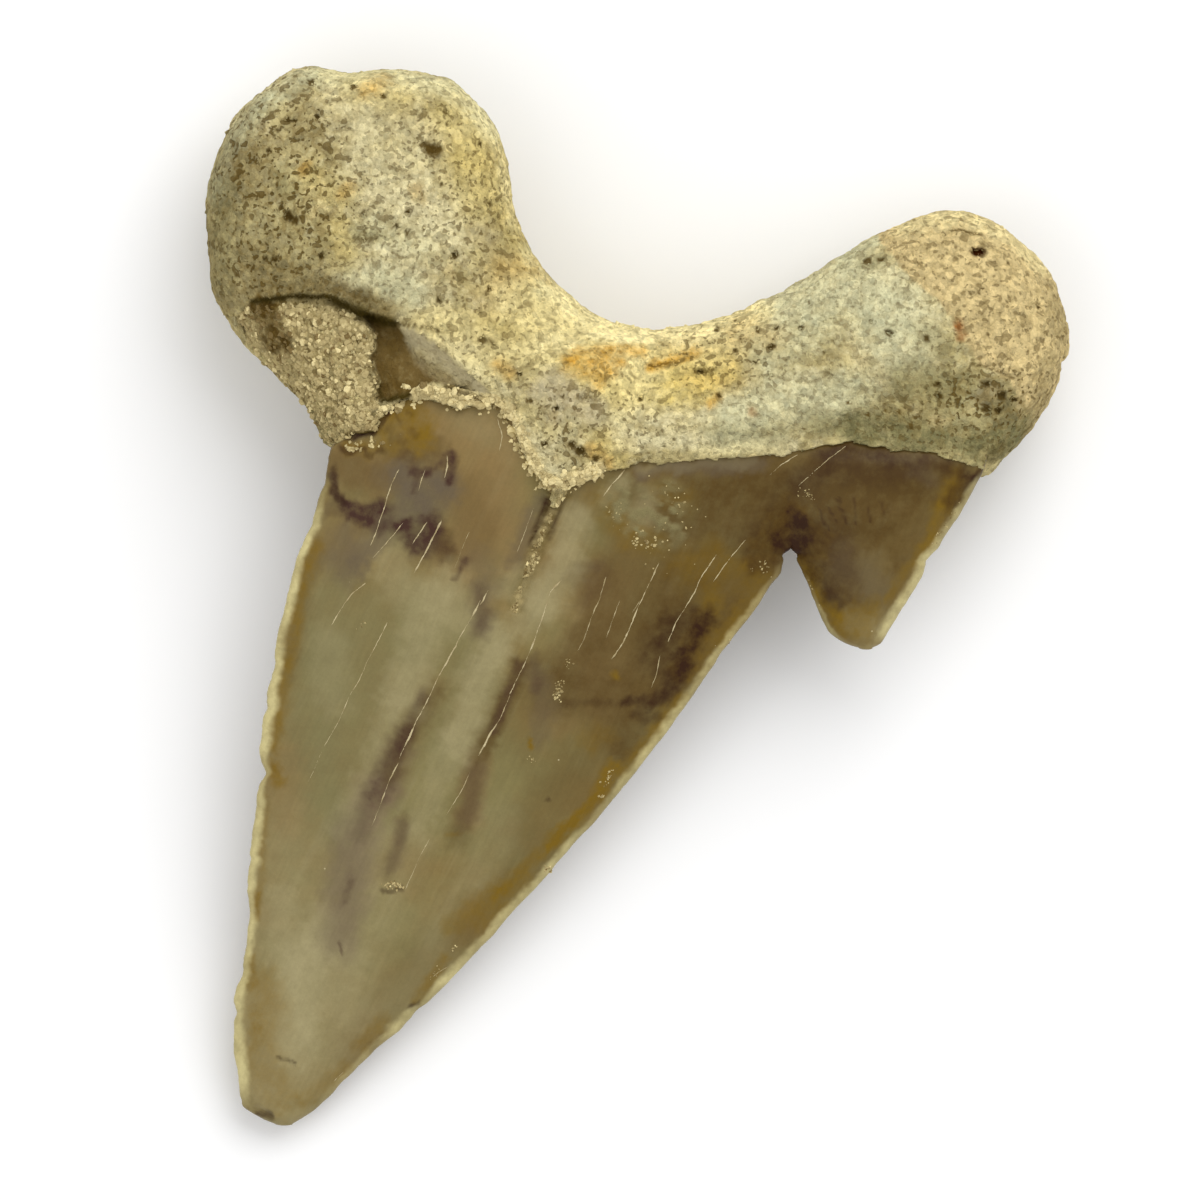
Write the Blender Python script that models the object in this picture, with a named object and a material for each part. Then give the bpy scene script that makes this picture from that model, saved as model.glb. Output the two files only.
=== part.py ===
"""Fossil shark tooth: a blade-like crown with one side cusplet on a two-lobed root, grown as one piece.

The tooth lies on its rounded tongue side, with the flatter lip side up. X runs across the tooth towards the
cusplet, Y from the crown's tip towards the root, and Z up from the surface that it rests on. The origin is on
that surface, in the middle of the tooth's length and width. Sizes below are millimetres.
"""

import math

import bmesh
import bpy
from mathutils import Vector

MM = 0.001

# Driving dimensions
EDGE_THICKNESS = 0.30  # the worn cutting edges are this blunt
ROOT_ROUNDNESS = 2.35  # exponent of the root's oval sections: 2 is an ellipse, more is boxier
LIP_FACE_FLATNESS = 2.3  # exponent of the crown's lip-side arch
TONGUE_FACE_FLATNESS = 1.75  # exponent of the crown's deeper tongue-side arch
RING_STEPS = 14  # points on each face of a section
STEPS_BETWEEN = 2  # rings made for each station below
ROOT_COLOUR = (0.53, 0.46, 0.29, 1.0)
ENAMEL_COLOUR = (0.27, 0.23, 0.12, 1.0)

# The root is a thick arch from the large lobe, over the crown, to the small lobe. Each station is a chord
# across it: the outer end (x, y, z), the inner end (x, y, z), how far the arch swells above and below it, and
# how far its tongue side leans out over the crown, where it forms the rounded boss that the tooth lies on.
ROOT_STATIONS = [
    ((-20.2, 23.5, 5.6), (-18.7, 25.2, 5.6), 1.3, 1.4, 0.0),
    ((-20.9, 21.9, 5.6), (-16.8, 26.4, 5.6), 2.6, 2.7, 0.0),
    ((-21.4, 19.9, 5.6), (-14.3, 26.2, 5.6), 3.5, 3.8, 0.0),
    ((-21.4, 17.6, 5.6), (-11.7, 26.3, 5.7), 4.1, 4.6, 0.0),
    ((-21.2, 15.6, 5.6), (-9.3, 25.9, 5.7), 4.5, 5.1, 0.0),
    ((-20.5, 14.2, 5.6), (-7.5, 24.3, 5.8), 4.7, 5.6, 0.0),
    ((-19.7, 13.0, 5.7), (-6.4, 22.1, 5.9), 4.8, 6.0, 0.0),
    ((-18.7, 11.9, 5.9), (-6.1, 19.6, 6.0), 4.9, 5.8, 0.0),
    ((-17.5, 10.6, 6.3), (-5.6, 18.1, 6.1), 4.9, 5.5, 0.0),
    ((-16.4, 9.3, 6.8), (-4.5, 16.3, 6.2), 4.7, 5.5, 0.0),
    ((-15.2, 7.5, 7.5), (-3.1, 14.8, 6.3), 4.3, 5.8, 0.3),
    ((-13.2, 8.0, 8.6), (-2.2, 14.2, 6.4), 3.7, 6.3, 0.8),
    ((-11.5, 9.1, 9.2), (-1.3, 13.8, 6.5), 3.3, 6.9, 1.3),
    ((-9.0, 9.5, 9.5), (-0.4, 13.6, 6.5), 3.1, 7.5, 1.8),
    ((-6.9, 9.2, 9.6), (0.5, 13.5, 6.5), 3.1, 8.0, 2.1),
    ((-5.4, 7.0, 9.5), (1.1, 13.4, 6.5), 3.2, 8.3, 2.0),
    ((-3.9, 5.0, 9.3), (1.8, 13.5, 6.5), 3.3, 8.5, 1.8),
    ((-1.6, 5.7, 9.2), (2.7, 13.6, 6.4), 3.3, 8.4, 2.0),
    ((1.2, 6.5, 9.1), (3.8, 13.9, 6.3), 3.3, 8.0, 2.1),
    ((4.2, 6.5, 9.0), (5.5, 14.5, 6.2), 3.3, 7.4, 1.7),
    ((7.7, 6.7, 8.8), (7.7, 15.5, 6.0), 3.4, 6.7, 1.1),
    ((10.7, 7.3, 8.5), (9.7, 16.7, 5.8), 3.5, 6.1, 0.6),
    ((13.5, 6.9, 8.0), (12.0, 18.1, 5.6), 3.7, 5.7, 0.2),
    ((15.7, 6.5, 7.2), (14.0, 19.0, 5.4), 3.9, 5.4, 0.0),
    ((17.5, 6.4, 6.2), (16.0, 19.3, 5.2), 4.1, 5.0, 0.0),
    ((18.8, 7.3, 5.6), (18.0, 18.7, 5.1), 3.9, 4.4, 0.0),
    ((19.9, 8.7, 5.3), (19.7, 17.3, 5.1), 3.3, 3.6, 0.0),
    ((20.7, 10.1, 5.2), (20.9, 15.8, 5.1), 2.5, 2.7, 0.0),
    ((21.3, 11.8, 5.1), (21.5, 13.8, 5.1), 1.1, 1.2, 0.0),
]

# The crown and the cusplet are stacks of lens-shaped sections. Each station is the section's y, the x of its
# left and right cutting edges, the height of those edges, and how far the faces swell above and below them.
CROWN_STATIONS = [
    (9.9, -13.2, 9.6, 9.1, 1.4, 5.2),
    (8.6, -14.4, 10.6, 9.1, 1.5, 5.7),
    (7.3, -15.2, 11.1, 9.0, 1.6, 6.0),
    (6.1, -15.4, 10.3, 8.9, 1.6, 6.1),
    (4.9, -15.8, 9.4, 8.7, 1.6, 6.0),
    (3.9, -16.1, 8.8, 8.5, 1.6, 5.8),
    (2.9, -16.5, 8.1, 8.3, 1.6, 5.6),
    (1.9, -16.9, 7.4, 8.1, 1.6, 5.4),
    (-0.1, -17.4, 6.3, 7.6, 1.6, 5.0),
    (-2.1, -17.9, 4.8, 7.2, 1.6, 4.7),
    (-4.1, -18.2, 3.4, 6.7, 1.6, 4.3),
    (-6.1, -18.6, 2.0, 6.3, 1.5, 4.0),
    (-8.1, -18.7, 0.5, 5.8, 1.5, 3.7),
    (-10.1, -18.9, -1.1, 5.4, 1.4, 3.4),
    (-12.1, -19.2, -2.9, 4.9, 1.3, 3.2),
    (-14.1, -19.4, -4.6, 4.4, 1.2, 3.0),
    (-16.1, -19.3, -6.5, 4.0, 1.1, 2.8),
    (-18.1, -19.6, -8.3, 3.5, 1.0, 2.6),
    (-20.1, -20.1, -10.2, 3.0, 0.9, 2.4),
    (-22.1, -20.1, -12.4, 2.6, 0.8, 2.3),
    (-24.1, -19.9, -14.5, 2.1, 0.7, 2.1),
    (-25.1, -19.8, -15.5, 1.9, 0.6, 1.8),
    (-25.7, -19.4, -16.1, 1.7, 0.5, 1.4),
    (-26.1, -18.8, -16.7, 1.6, 0.4, 0.9),
    (-26.4, -18.1, -17.2, 1.5, 0.2, 0.4),
]
CUSPLET_STATIONS = [
    (8.4, 4.2, 17.2, 8.3, 0.9, 4.2),
    (7.1, 5.0, 17.5, 8.6, 1.4, 4.8),
    (6.1, 5.6, 17.2, 8.6, 1.5, 4.8),
    (4.9, 6.4, 16.6, 8.4, 1.5, 4.5),
    (3.9, 7.0, 16.0, 8.3, 1.5, 4.1),
    (2.9, 7.5, 15.3, 8.1, 1.4, 3.7),
    (1.9, 8.0, 14.6, 8.0, 1.3, 3.2),
    (0.9, 8.5, 14.2, 7.8, 1.2, 2.6),
    (-0.1, 8.9, 13.6, 7.7, 1.0, 2.1),
    (-1.1, 9.3, 12.9, 7.5, 0.8, 1.6),
    (-1.9, 9.9, 12.5, 7.4, 0.6, 1.1),
    (-2.3, 10.5, 12.2, 7.3, 0.4, 0.7),
    (-2.5, 11.1, 11.8, 7.3, 0.2, 0.3),
]
BELOW_GROUND = 4.0  # depth of the block that wears the contact spots flat

# A furrow runs down the crown's lip side from the point of the root, and a fissure opens along it.
FURROW_DEPTH = 0.40
FURROW_WIDTH = 0.11  # share of the crown's half width
FURROW_PLACE = -0.06  # share of the crown's half width, left of its middle
FURROW_TOP, FURROW_END = 5.5, -3.0  # y where the furrow is full, and where it has run out
FISSURE_TOP = (-4.0, 5.4, 10.2)
FISSURE_END = (-5.6, 0.3, 9.25)
FISSURE_RADIUS = 0.42

# Flakes of the root's lip-side skin are missing: an outline, and the depth that is gone. Their cutters run
# between two heights, one inside the root and one above it.
FLAKE_BOTTOM, FLAKE_TOP = 6.5, 14.0
SHALLOW_FLAKE = (
    [(-20.6, 13.3), (-18.2, 14.9), (-15.6, 14.8), (-13.0, 14.1), (-10.6, 12.9), (-9.0, 11.6), (-7.2, 10.0),
     (-8.0, 8.2), (-12.0, 7.0), (-16.6, 6.4), (-19.4, 9.6)],
    0.45,
)
DEEP_FLAKE = (
    [(-13.1, 13.4), (-11.2, 12.7), (-9.2, 11.5), (-7.5, 10.1), (-8.6, 9.7), (-11.6, 9.4), (-12.9, 9.9),
     (-13.5, 11.6)],
    1.25,
)

# A vein hole opens in the small lobe, and the cutting edges carry chips: a place, and a radius.
VEIN_HOLE_FLOOR = (17.1, 17.25, 6.0)
VEIN_HOLE_RADIUS, VEIN_HOLE_LENGTH = 0.28, 4.0
CHIPS = [
    ((-19.25, -8.95, 5.65), 0.75),
    ((-19.95, -14.6, 4.3), 0.60),
    ((-20.45, -21.1, 2.85), 0.55),
    ((-10.65, -20.7, 2.9), 0.55),
    ((-12.9, -22.65, 2.5), 0.45),
    ((14.95, 1.95, 8.0), 0.50),
]


def clear_scene():
    for obj in list(bpy.data.objects):
        bpy.data.objects.remove(obj, do_unlink=True)


def make_collection(name):
    collection = bpy.data.collections.new(name)
    bpy.context.scene.collection.children.link(collection)
    return collection


def make_material(name, colour, roughness):
    material = bpy.data.materials.new(name)
    material.use_nodes = True
    shader = material.node_tree.nodes["Principled BSDF"]
    shader.inputs["Base Color"].default_value = colour
    shader.inputs["Roughness"].default_value = roughness
    shader.inputs["Metallic"].default_value = 0.0
    material.diffuse_color = colour
    return material


def add_object(name, bm, collection, material=None):
    """Turns a bmesh in millimetres into an object in metres."""
    bmesh.ops.scale(bm, vec=(MM, MM, MM), verts=bm.verts)
    bmesh.ops.recalc_face_normals(bm, faces=bm.faces)
    mesh = bpy.data.meshes.new(name)
    bm.to_mesh(mesh)
    bm.free()
    if material:
        mesh.materials.append(material)
    obj = bpy.data.objects.new(name, mesh)
    collection.objects.link(obj)
    return obj


def between(rows, steps):
    """The rows of numbers, with more rows on a smooth curve (Catmull-Rom) through them."""
    last = len(rows) - 1
    result = []
    for i in range(last):
        before, start, end, after = rows[max(i - 1, 0)], rows[i], rows[i + 1], rows[min(i + 2, last)]
        for step in range(steps):
            t = step / steps
            result.append([
                b + 0.5 * ((c - a) * t + (2 * a - 5 * b + 4 * c - d) * t**2 + (3 * b - a - 3 * c + d) * t**3)
                for a, b, c, d in zip(before, start, end, after)
            ])
    result.append(list(rows[last]))
    return result


def loft(name, rings, collection, material):
    """A closed solid through rings with the same number of points, capped at both ends."""
    bm = bmesh.new()
    loops = [[bm.verts.new(point) for point in ring] for ring in rings]
    for here, there in zip(loops, loops[1:]):
        for i in range(len(here)):
            j = (i + 1) % len(here)
            bm.faces.new((here[i], here[j], there[j], there[i]))
    bm.faces.new(loops[0])
    bm.faces.new(list(reversed(loops[-1])))
    return add_object(name, bm, collection, material)


def root_ring(outer, inner, rise, drop, lean):
    """An oval section on the chord from outer to inner, whose lower side leans outwards."""
    middle, half = (inner + outer) / 2, (inner - outer) / 2
    outwards = -half.normalized()
    power = 2 / ROOT_ROUNDNESS
    ring = []
    for i in range(2 * RING_STEPS):
        angle = math.pi * i / RING_STEPS
        across = math.copysign(abs(math.cos(angle)) ** power, math.cos(angle))
        up = math.copysign(abs(math.sin(angle)) ** power, math.sin(angle))
        point = middle + half * across + Vector((0, 0, (rise if up > 0 else drop) * up))
        ring.append(point + outwards * lean * max(-up, 0.0))
    return ring


def furrow(y, across):
    """How deep the crown's middle furrow is at this place."""
    fade = min(max((y - FURROW_END) / (FURROW_TOP - FURROW_END), 0.0), 1.0)
    return FURROW_DEPTH * fade * math.exp(-(((across - FURROW_PLACE) / FURROW_WIDTH) ** 2))


def lens_ring(station, furrowed):
    """A section with two cutting edges: a low arch on the lip side and a deep one on the tongue side."""
    y, left, right, edge, rise, drop = station
    middle, half = (left + right) / 2, (right - left) / 2
    upper, lower = [], []
    for i in range(RING_STEPS + 1):
        across = -math.cos(math.pi * i / RING_STEPS)
        x = middle + half * across
        top = edge + EDGE_THICKNESS / 2 + rise * (1 - abs(across) ** LIP_FACE_FLATNESS)
        if furrowed:
            top -= furrow(y, across)
        bottom = edge - EDGE_THICKNESS / 2 - drop * (1 - abs(across) ** TONGUE_FACE_FLATNESS)
        upper.append((x, y, top))
        lower.append((x, y, bottom))
    return upper + lower[::-1]


def make_root(collection, material):
    rows = between([[*outer, *inner, *swelling] for outer, inner, *swelling in ROOT_STATIONS], STEPS_BETWEEN)
    rings = [root_ring(Vector(row[0:3]), Vector(row[3:6]), *row[6:9]) for row in rows]
    return loft("tooth", rings, collection, material)


def make_blade(name, stations, collection, material, furrowed=False):
    rings = [lens_ring(row, furrowed) for row in between(stations, STEPS_BETWEEN)]
    return loft(name, rings, collection, material)


def make_ball(name, centre, radii, collection, material=None, segments=24, rings=14):
    bm = bmesh.new()
    bmesh.ops.create_uvsphere(bm, u_segments=segments, v_segments=rings, radius=1.0)
    bmesh.ops.scale(bm, vec=radii, verts=bm.verts)
    bmesh.ops.translate(bm, vec=centre, verts=bm.verts)
    return add_object(name, bm, collection, material)


def make_spike(name, start, end, radius, collection, sides=8):
    """A slim cone that is widest at the start and all but closes at the end."""
    start, end = Vector(start), Vector(end)
    bm = bmesh.new()
    bmesh.ops.create_cone(
        bm, cap_ends=True, segments=sides, radius1=radius, radius2=0.05, depth=(end - start).length
    )
    turn = (end - start).to_track_quat("Z", "Y").to_matrix()
    bmesh.ops.rotate(bm, matrix=turn, verts=bm.verts)
    bmesh.ops.translate(bm, vec=(start + end) / 2, verts=bm.verts)
    return add_object(name, bm, collection)


def make_block(name, low, high, collection):
    bm = bmesh.new()
    bmesh.ops.create_cube(bm, size=1.0)
    bmesh.ops.scale(bm, vec=[b - a for a, b in zip(low, high)], verts=bm.verts)
    bmesh.ops.translate(bm, vec=[(a + b) / 2 for a, b in zip(low, high)], verts=bm.verts)
    return add_object(name, bm, collection)


def make_prism(name, outline, low, high, collection):
    """An upright prism over an outline in the XY plane."""
    bm = bmesh.new()
    base = bm.faces.new([bm.verts.new((x, y, low)) for x, y in outline])
    grown = bmesh.ops.extrude_face_region(bm, geom=[base])
    raised = [item for item in grown["geom"] if isinstance(item, bmesh.types.BMVert)]
    bmesh.ops.translate(bm, vec=(0, 0, high - low), verts=raised)
    return add_object(name, bm, collection)


def combine(target, operation, other):
    """Applies a Boolean to the target's mesh, so that copies of the target can be cutters."""
    modifier = target.modifiers.new(other.name, "BOOLEAN")
    modifier.operation = operation
    modifier.solver = "EXACT"
    modifier.material_mode = "TRANSFER"
    modifier.object = other
    bpy.context.view_layer.update()
    graph = bpy.context.evaluated_depsgraph_get()
    mesh = bpy.data.meshes.new_from_object(target.evaluated_get(graph))
    target.modifiers.clear()
    target.data = mesh
    other.hide_render = True
    other.display_type = "WIRE"


def flake_off(tooth, name, flake, skin, cutters):
    """Takes the flake's depth off the lip side, inside its outline. The skin is the root while whole."""
    outline, depth = flake
    cutter = make_prism(name, outline, FLAKE_BOTTOM, FLAKE_TOP, cutters)
    what_stays = bpy.data.objects.new(name + "_floor", skin)
    what_stays.location.z = -depth * MM
    cutters.objects.link(what_stays)
    combine(cutter, "DIFFERENCE", what_stays)
    combine(tooth, "DIFFERENCE", cutter)


def wear_flat(tooth, cutters):
    """Cuts the lowest points level, so that the tooth lies on small flat spots."""
    ground = make_block("ground", (-30, -35, -BELOW_GROUND), (30, 35, 0), cutters)
    combine(tooth, "DIFFERENCE", ground)


def open_vein_hole(tooth, cutters):
    radius, length = VEIN_HOLE_RADIUS, VEIN_HOLE_LENGTH
    bm = bmesh.new()
    bmesh.ops.create_cone(bm, cap_ends=True, segments=10, radius1=radius, radius2=radius, depth=length)
    bmesh.ops.translate(bm, vec=Vector(VEIN_HOLE_FLOOR) + Vector((0, 0, length / 2)), verts=bm.verts)
    combine(tooth, "DIFFERENCE", add_object("vein_hole", bm, cutters))


def chip_edges(tooth, cutters):
    for number, (place, radius) in enumerate(CHIPS):
        chip = make_ball(f"chip_{number + 1}", place, (radius, radius, radius), cutters, segments=10, rings=6)
        combine(tooth, "DIFFERENCE", chip)


def main():
    clear_scene()
    parts = make_collection("fossil_shark_tooth")
    cutters = make_collection("cutters")
    bone = make_material("root", ROOT_COLOUR, 0.85)
    enamel = make_material("enamel", ENAMEL_COLOUR, 0.32)

    tooth = make_root(parts, bone)
    whole_root = tooth.data.copy()
    flake_off(tooth, "shallow_flake", SHALLOW_FLAKE, whole_root, cutters)
    flake_off(tooth, "deep_flake", DEEP_FLAKE, whole_root, cutters)
    combine(tooth, "UNION", make_blade("crown", CROWN_STATIONS, cutters, enamel, furrowed=True))
    combine(tooth, "UNION", make_blade("cusplet", CUSPLET_STATIONS, cutters, enamel))
    combine(tooth, "DIFFERENCE", make_spike("fissure", FISSURE_TOP, FISSURE_END, FISSURE_RADIUS, cutters))
    chip_edges(tooth, cutters)
    open_vein_hole(tooth, cutters)
    wear_flat(tooth, cutters)

    for polygon in tooth.data.polygons:
        polygon.use_smooth = True
    tooth.data.set_sharp_from_angle(angle=math.radians(38))


main()
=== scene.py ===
"""The looks of a fossil shark tooth: bone, enamel, sand, mineral-filled cracks and stains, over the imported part.

The tooth lies with its lip side up. Lengths here are millimetres unless a name says otherwise. Places on the lip
side are given on a map that is seen from straight above, with 20 units to a millimetre, x to the right and y
down towards the crown's tip.
"""

import math

import bmesh
import bpy
import numpy as np
from bpy.props import FloatProperty, FloatVectorProperty, PointerProperty
from bpy.types import Operator, Panel, PropertyGroup
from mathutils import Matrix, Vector
from mathutils.bvhtree import BVHTree


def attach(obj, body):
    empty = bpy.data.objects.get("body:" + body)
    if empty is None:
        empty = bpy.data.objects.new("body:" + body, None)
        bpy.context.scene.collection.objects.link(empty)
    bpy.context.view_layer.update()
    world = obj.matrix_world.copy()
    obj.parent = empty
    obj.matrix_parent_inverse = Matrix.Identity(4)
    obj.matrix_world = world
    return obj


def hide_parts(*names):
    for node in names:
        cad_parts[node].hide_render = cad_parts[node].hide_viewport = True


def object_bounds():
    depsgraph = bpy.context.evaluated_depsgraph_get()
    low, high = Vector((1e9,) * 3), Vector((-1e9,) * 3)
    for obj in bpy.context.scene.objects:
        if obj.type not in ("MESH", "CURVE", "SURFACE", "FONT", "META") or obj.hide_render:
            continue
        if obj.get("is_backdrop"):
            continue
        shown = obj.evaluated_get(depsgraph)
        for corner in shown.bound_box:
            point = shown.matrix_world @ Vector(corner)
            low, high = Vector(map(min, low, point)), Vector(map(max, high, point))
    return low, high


bl_info = {
    "name": "Fossil Shark Tooth",
    "version": (1, 0, 0),
    "blender": (4, 5, 0),
    "location": "3D View > Sidebar > Fossil Tooth",
    "description": "Builds a fossil shark tooth in bone, enamel and sand around its packed part",
    "category": "Add Mesh",
}

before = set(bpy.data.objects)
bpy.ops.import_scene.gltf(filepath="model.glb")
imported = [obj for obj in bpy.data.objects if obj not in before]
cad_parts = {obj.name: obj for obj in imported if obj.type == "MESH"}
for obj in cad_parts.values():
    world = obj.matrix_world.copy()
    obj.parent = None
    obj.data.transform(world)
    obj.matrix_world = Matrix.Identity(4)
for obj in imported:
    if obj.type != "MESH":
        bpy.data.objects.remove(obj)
CAD_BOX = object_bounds()

MM = 0.001
MAP_UNITS = 20.0  # map units in a millimetre
MAP_MIDDLE = (635.5, 597.5)  # the part's origin on the map
ROOT_BOX = (205, 68), (1066, 480)  # the root's lowest and highest x and y on the map
VIEW_MIDDLE = (600.0, 600.0)  # what the camera looks at, on the map
FLOOR_HEIGHT = -0.00002  # metres, a hair below the tooth so that nothing flickers
EDGE_THICKNESS = 0.30
LIP_FACE_FLATNESS, TONGUE_FACE_FLATNESS = 2.3, 1.75
ROOT_ROUNDNESS = 2.35
ROOT_RINGS, ROOT_LIP_POINTS, ROOT_TONGUE_POINTS = 450, 162, 50
CROWN_COUNTS, CUSPLET_COUNTS = (0.1, 152, 46), (0.1, 96, 40)  # row height, points on the lip and on the tongue side
HOLLOW_GRAINS = 1000
GRIT_TRIES, GRIT_GRAINS = 16000, 9000  # many tries fall outside the root, and the rest are cut off at the second
GROWTH_ACROSS = (0.907, -0.42)  # x and y across the way the crown grew
GROWTH_ALONG = (-0.035, -0.076)  # and along it, shortened so that a pattern stretches

# The part's own stations. Root: the outer and inner end of a chord across the arch, how far it swells above and
# below, and how far the tongue side leans out. Blades: y, left and right edge, edge height, swell above and below.
ROOT_STATIONS = np.array([
    (-20.2, 23.5, 5.6, -18.7, 25.2, 5.6, 1.3, 1.4, 0.0),
    (-20.9, 21.9, 5.6, -16.8, 26.4, 5.6, 2.6, 2.7, 0.0),
    (-21.4, 19.9, 5.6, -14.3, 26.2, 5.6, 3.5, 3.8, 0.0),
    (-21.4, 17.6, 5.6, -11.7, 26.3, 5.7, 4.1, 4.6, 0.0),
    (-21.2, 15.6, 5.6, -9.3, 25.9, 5.7, 4.5, 5.1, 0.0),
    (-20.5, 14.2, 5.6, -7.5, 24.3, 5.8, 4.7, 5.6, 0.0),
    (-19.7, 13.0, 5.7, -6.4, 22.1, 5.9, 4.8, 6.0, 0.0),
    (-18.7, 11.9, 5.9, -6.1, 19.6, 6.0, 4.9, 5.8, 0.0),
    (-17.5, 10.6, 6.3, -5.6, 18.1, 6.1, 4.9, 5.5, 0.0),
    (-16.4, 9.3, 6.8, -4.5, 16.3, 6.2, 4.7, 5.5, 0.0),
    (-15.2, 7.5, 7.5, -3.1, 14.8, 6.3, 4.3, 5.8, 0.3),
    (-13.2, 8.0, 8.6, -2.2, 14.2, 6.4, 3.7, 6.3, 0.8),
    (-11.5, 9.1, 9.2, -1.3, 13.8, 6.5, 3.3, 6.9, 1.3),
    (-9.0, 9.5, 9.5, -0.4, 13.6, 6.5, 3.1, 7.5, 1.8),
    (-6.9, 9.2, 9.6, 0.5, 13.5, 6.5, 3.1, 8.0, 2.1),
    (-5.4, 7.0, 9.5, 1.1, 13.4, 6.5, 3.2, 8.3, 2.0),
    (-3.9, 5.0, 9.3, 1.8, 13.5, 6.5, 3.3, 8.5, 1.8),
    (-1.6, 5.7, 9.2, 2.7, 13.6, 6.4, 3.3, 8.4, 2.0),
    (1.2, 6.5, 9.1, 3.8, 13.9, 6.3, 3.3, 8.0, 2.1),
    (4.2, 6.5, 9.0, 5.5, 14.5, 6.2, 3.3, 7.4, 1.7),
    (7.7, 6.7, 8.8, 7.7, 15.5, 6.0, 3.4, 6.7, 1.1),
    (10.7, 7.3, 8.5, 9.7, 16.7, 5.8, 3.5, 6.1, 0.6),
    (13.5, 6.9, 8.0, 12.0, 18.1, 5.6, 3.7, 5.7, 0.2),
    (15.7, 6.5, 7.2, 14.0, 19.0, 5.4, 3.9, 5.4, 0.0),
    (17.5, 6.4, 6.2, 16.0, 19.3, 5.2, 4.1, 5.0, 0.0),
    (18.8, 7.3, 5.6, 18.0, 18.7, 5.1, 3.9, 4.4, 0.0),
    (19.9, 8.7, 5.3, 19.7, 17.3, 5.1, 3.3, 3.6, 0.0),
    (20.7, 10.1, 5.2, 20.9, 15.8, 5.1, 2.5, 2.7, 0.0),
    (21.3, 11.8, 5.1, 21.5, 13.8, 5.1, 1.1, 1.2, 0.0),
])
CROWN_STATIONS = np.array([
    (9.9, -13.2, 9.6, 9.1, 1.4, 5.2),
    (8.6, -14.4, 10.6, 9.1, 1.5, 5.7),
    (7.3, -15.2, 11.1, 9.0, 1.6, 6.0),
    (6.1, -15.4, 10.3, 8.9, 1.6, 6.1),
    (4.9, -15.8, 9.4, 8.7, 1.6, 6.0),
    (3.9, -16.1, 8.8, 8.5, 1.6, 5.8),
    (2.9, -16.5, 8.1, 8.3, 1.6, 5.6),
    (1.9, -16.9, 7.4, 8.1, 1.6, 5.4),
    (-0.1, -17.4, 6.3, 7.6, 1.6, 5.0),
    (-2.1, -17.9, 4.8, 7.2, 1.6, 4.7),
    (-4.1, -18.2, 3.4, 6.7, 1.6, 4.3),
    (-6.1, -18.6, 2.0, 6.3, 1.5, 4.0),
    (-8.1, -18.7, 0.5, 5.8, 1.5, 3.7),
    (-10.1, -18.9, -1.1, 5.4, 1.4, 3.4),
    (-12.1, -19.2, -2.9, 4.9, 1.3, 3.2),
    (-14.1, -19.4, -4.6, 4.4, 1.2, 3.0),
    (-16.1, -19.3, -6.5, 4.0, 1.1, 2.8),
    (-18.1, -19.6, -8.3, 3.5, 1.0, 2.6),
    (-20.1, -20.1, -10.2, 3.0, 0.9, 2.4),
    (-22.1, -20.1, -12.4, 2.6, 0.8, 2.3),
    (-24.1, -19.9, -14.5, 2.1, 0.7, 2.1),
    (-25.1, -19.8, -15.5, 1.9, 0.6, 1.8),
    (-25.7, -19.4, -16.1, 1.7, 0.5, 1.4),
    (-26.1, -18.8, -16.7, 1.6, 0.4, 0.9),
    (-26.4, -18.1, -17.2, 1.5, 0.2, 0.4),
])
CUSPLET_STATIONS = np.array([
    (8.4, 4.2, 17.2, 8.3, 0.9, 4.2),
    (7.1, 5.0, 17.5, 8.6, 1.4, 4.8),
    (6.1, 5.6, 17.2, 8.6, 1.5, 4.8),
    (4.9, 6.4, 16.6, 8.4, 1.5, 4.5),
    (3.9, 7.0, 16.0, 8.3, 1.5, 4.1),
    (2.9, 7.5, 15.3, 8.1, 1.4, 3.7),
    (1.9, 8.0, 14.6, 8.0, 1.3, 3.2),
    (0.9, 8.5, 14.2, 7.8, 1.2, 2.6),
    (-0.1, 8.9, 13.6, 7.7, 1.0, 2.1),
    (-1.1, 9.3, 12.9, 7.5, 0.8, 1.6),
    (-1.9, 9.9, 12.5, 7.4, 0.6, 1.1),
    (-2.3, 10.5, 12.2, 7.3, 0.4, 0.7),
    (-2.5, 11.1, 11.8, 7.3, 0.2, 0.3),
])

# Where the root ends over the enamel, on the map, from the crown's left shoulder to the cusplet's right one.
SEAM = [(250, 470), (330, 447), (350, 436), (376, 431), (388, 414), (404, 401), (440, 401), (452, 409), (497, 406),
        (510, 420), (521, 441), (531, 466), (545, 484), (560, 491), (577, 486), (600, 476), (630, 467), (660, 464),
        (700, 461), (750, 457), (790, 456), (815, 447), (850, 442), (880, 449), (915, 452), (945, 459), (985, 469),
        (1060, 480)]
# How high the root's edge stands there: x on the map, and millimetres.
SEAM_STEPS = (320, 390, 500, 545, 590, 640, 900, 985), (0.18, 0.30, 0.32, 0.42, 0.32, 0.13, 0.16, 0.16)

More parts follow.
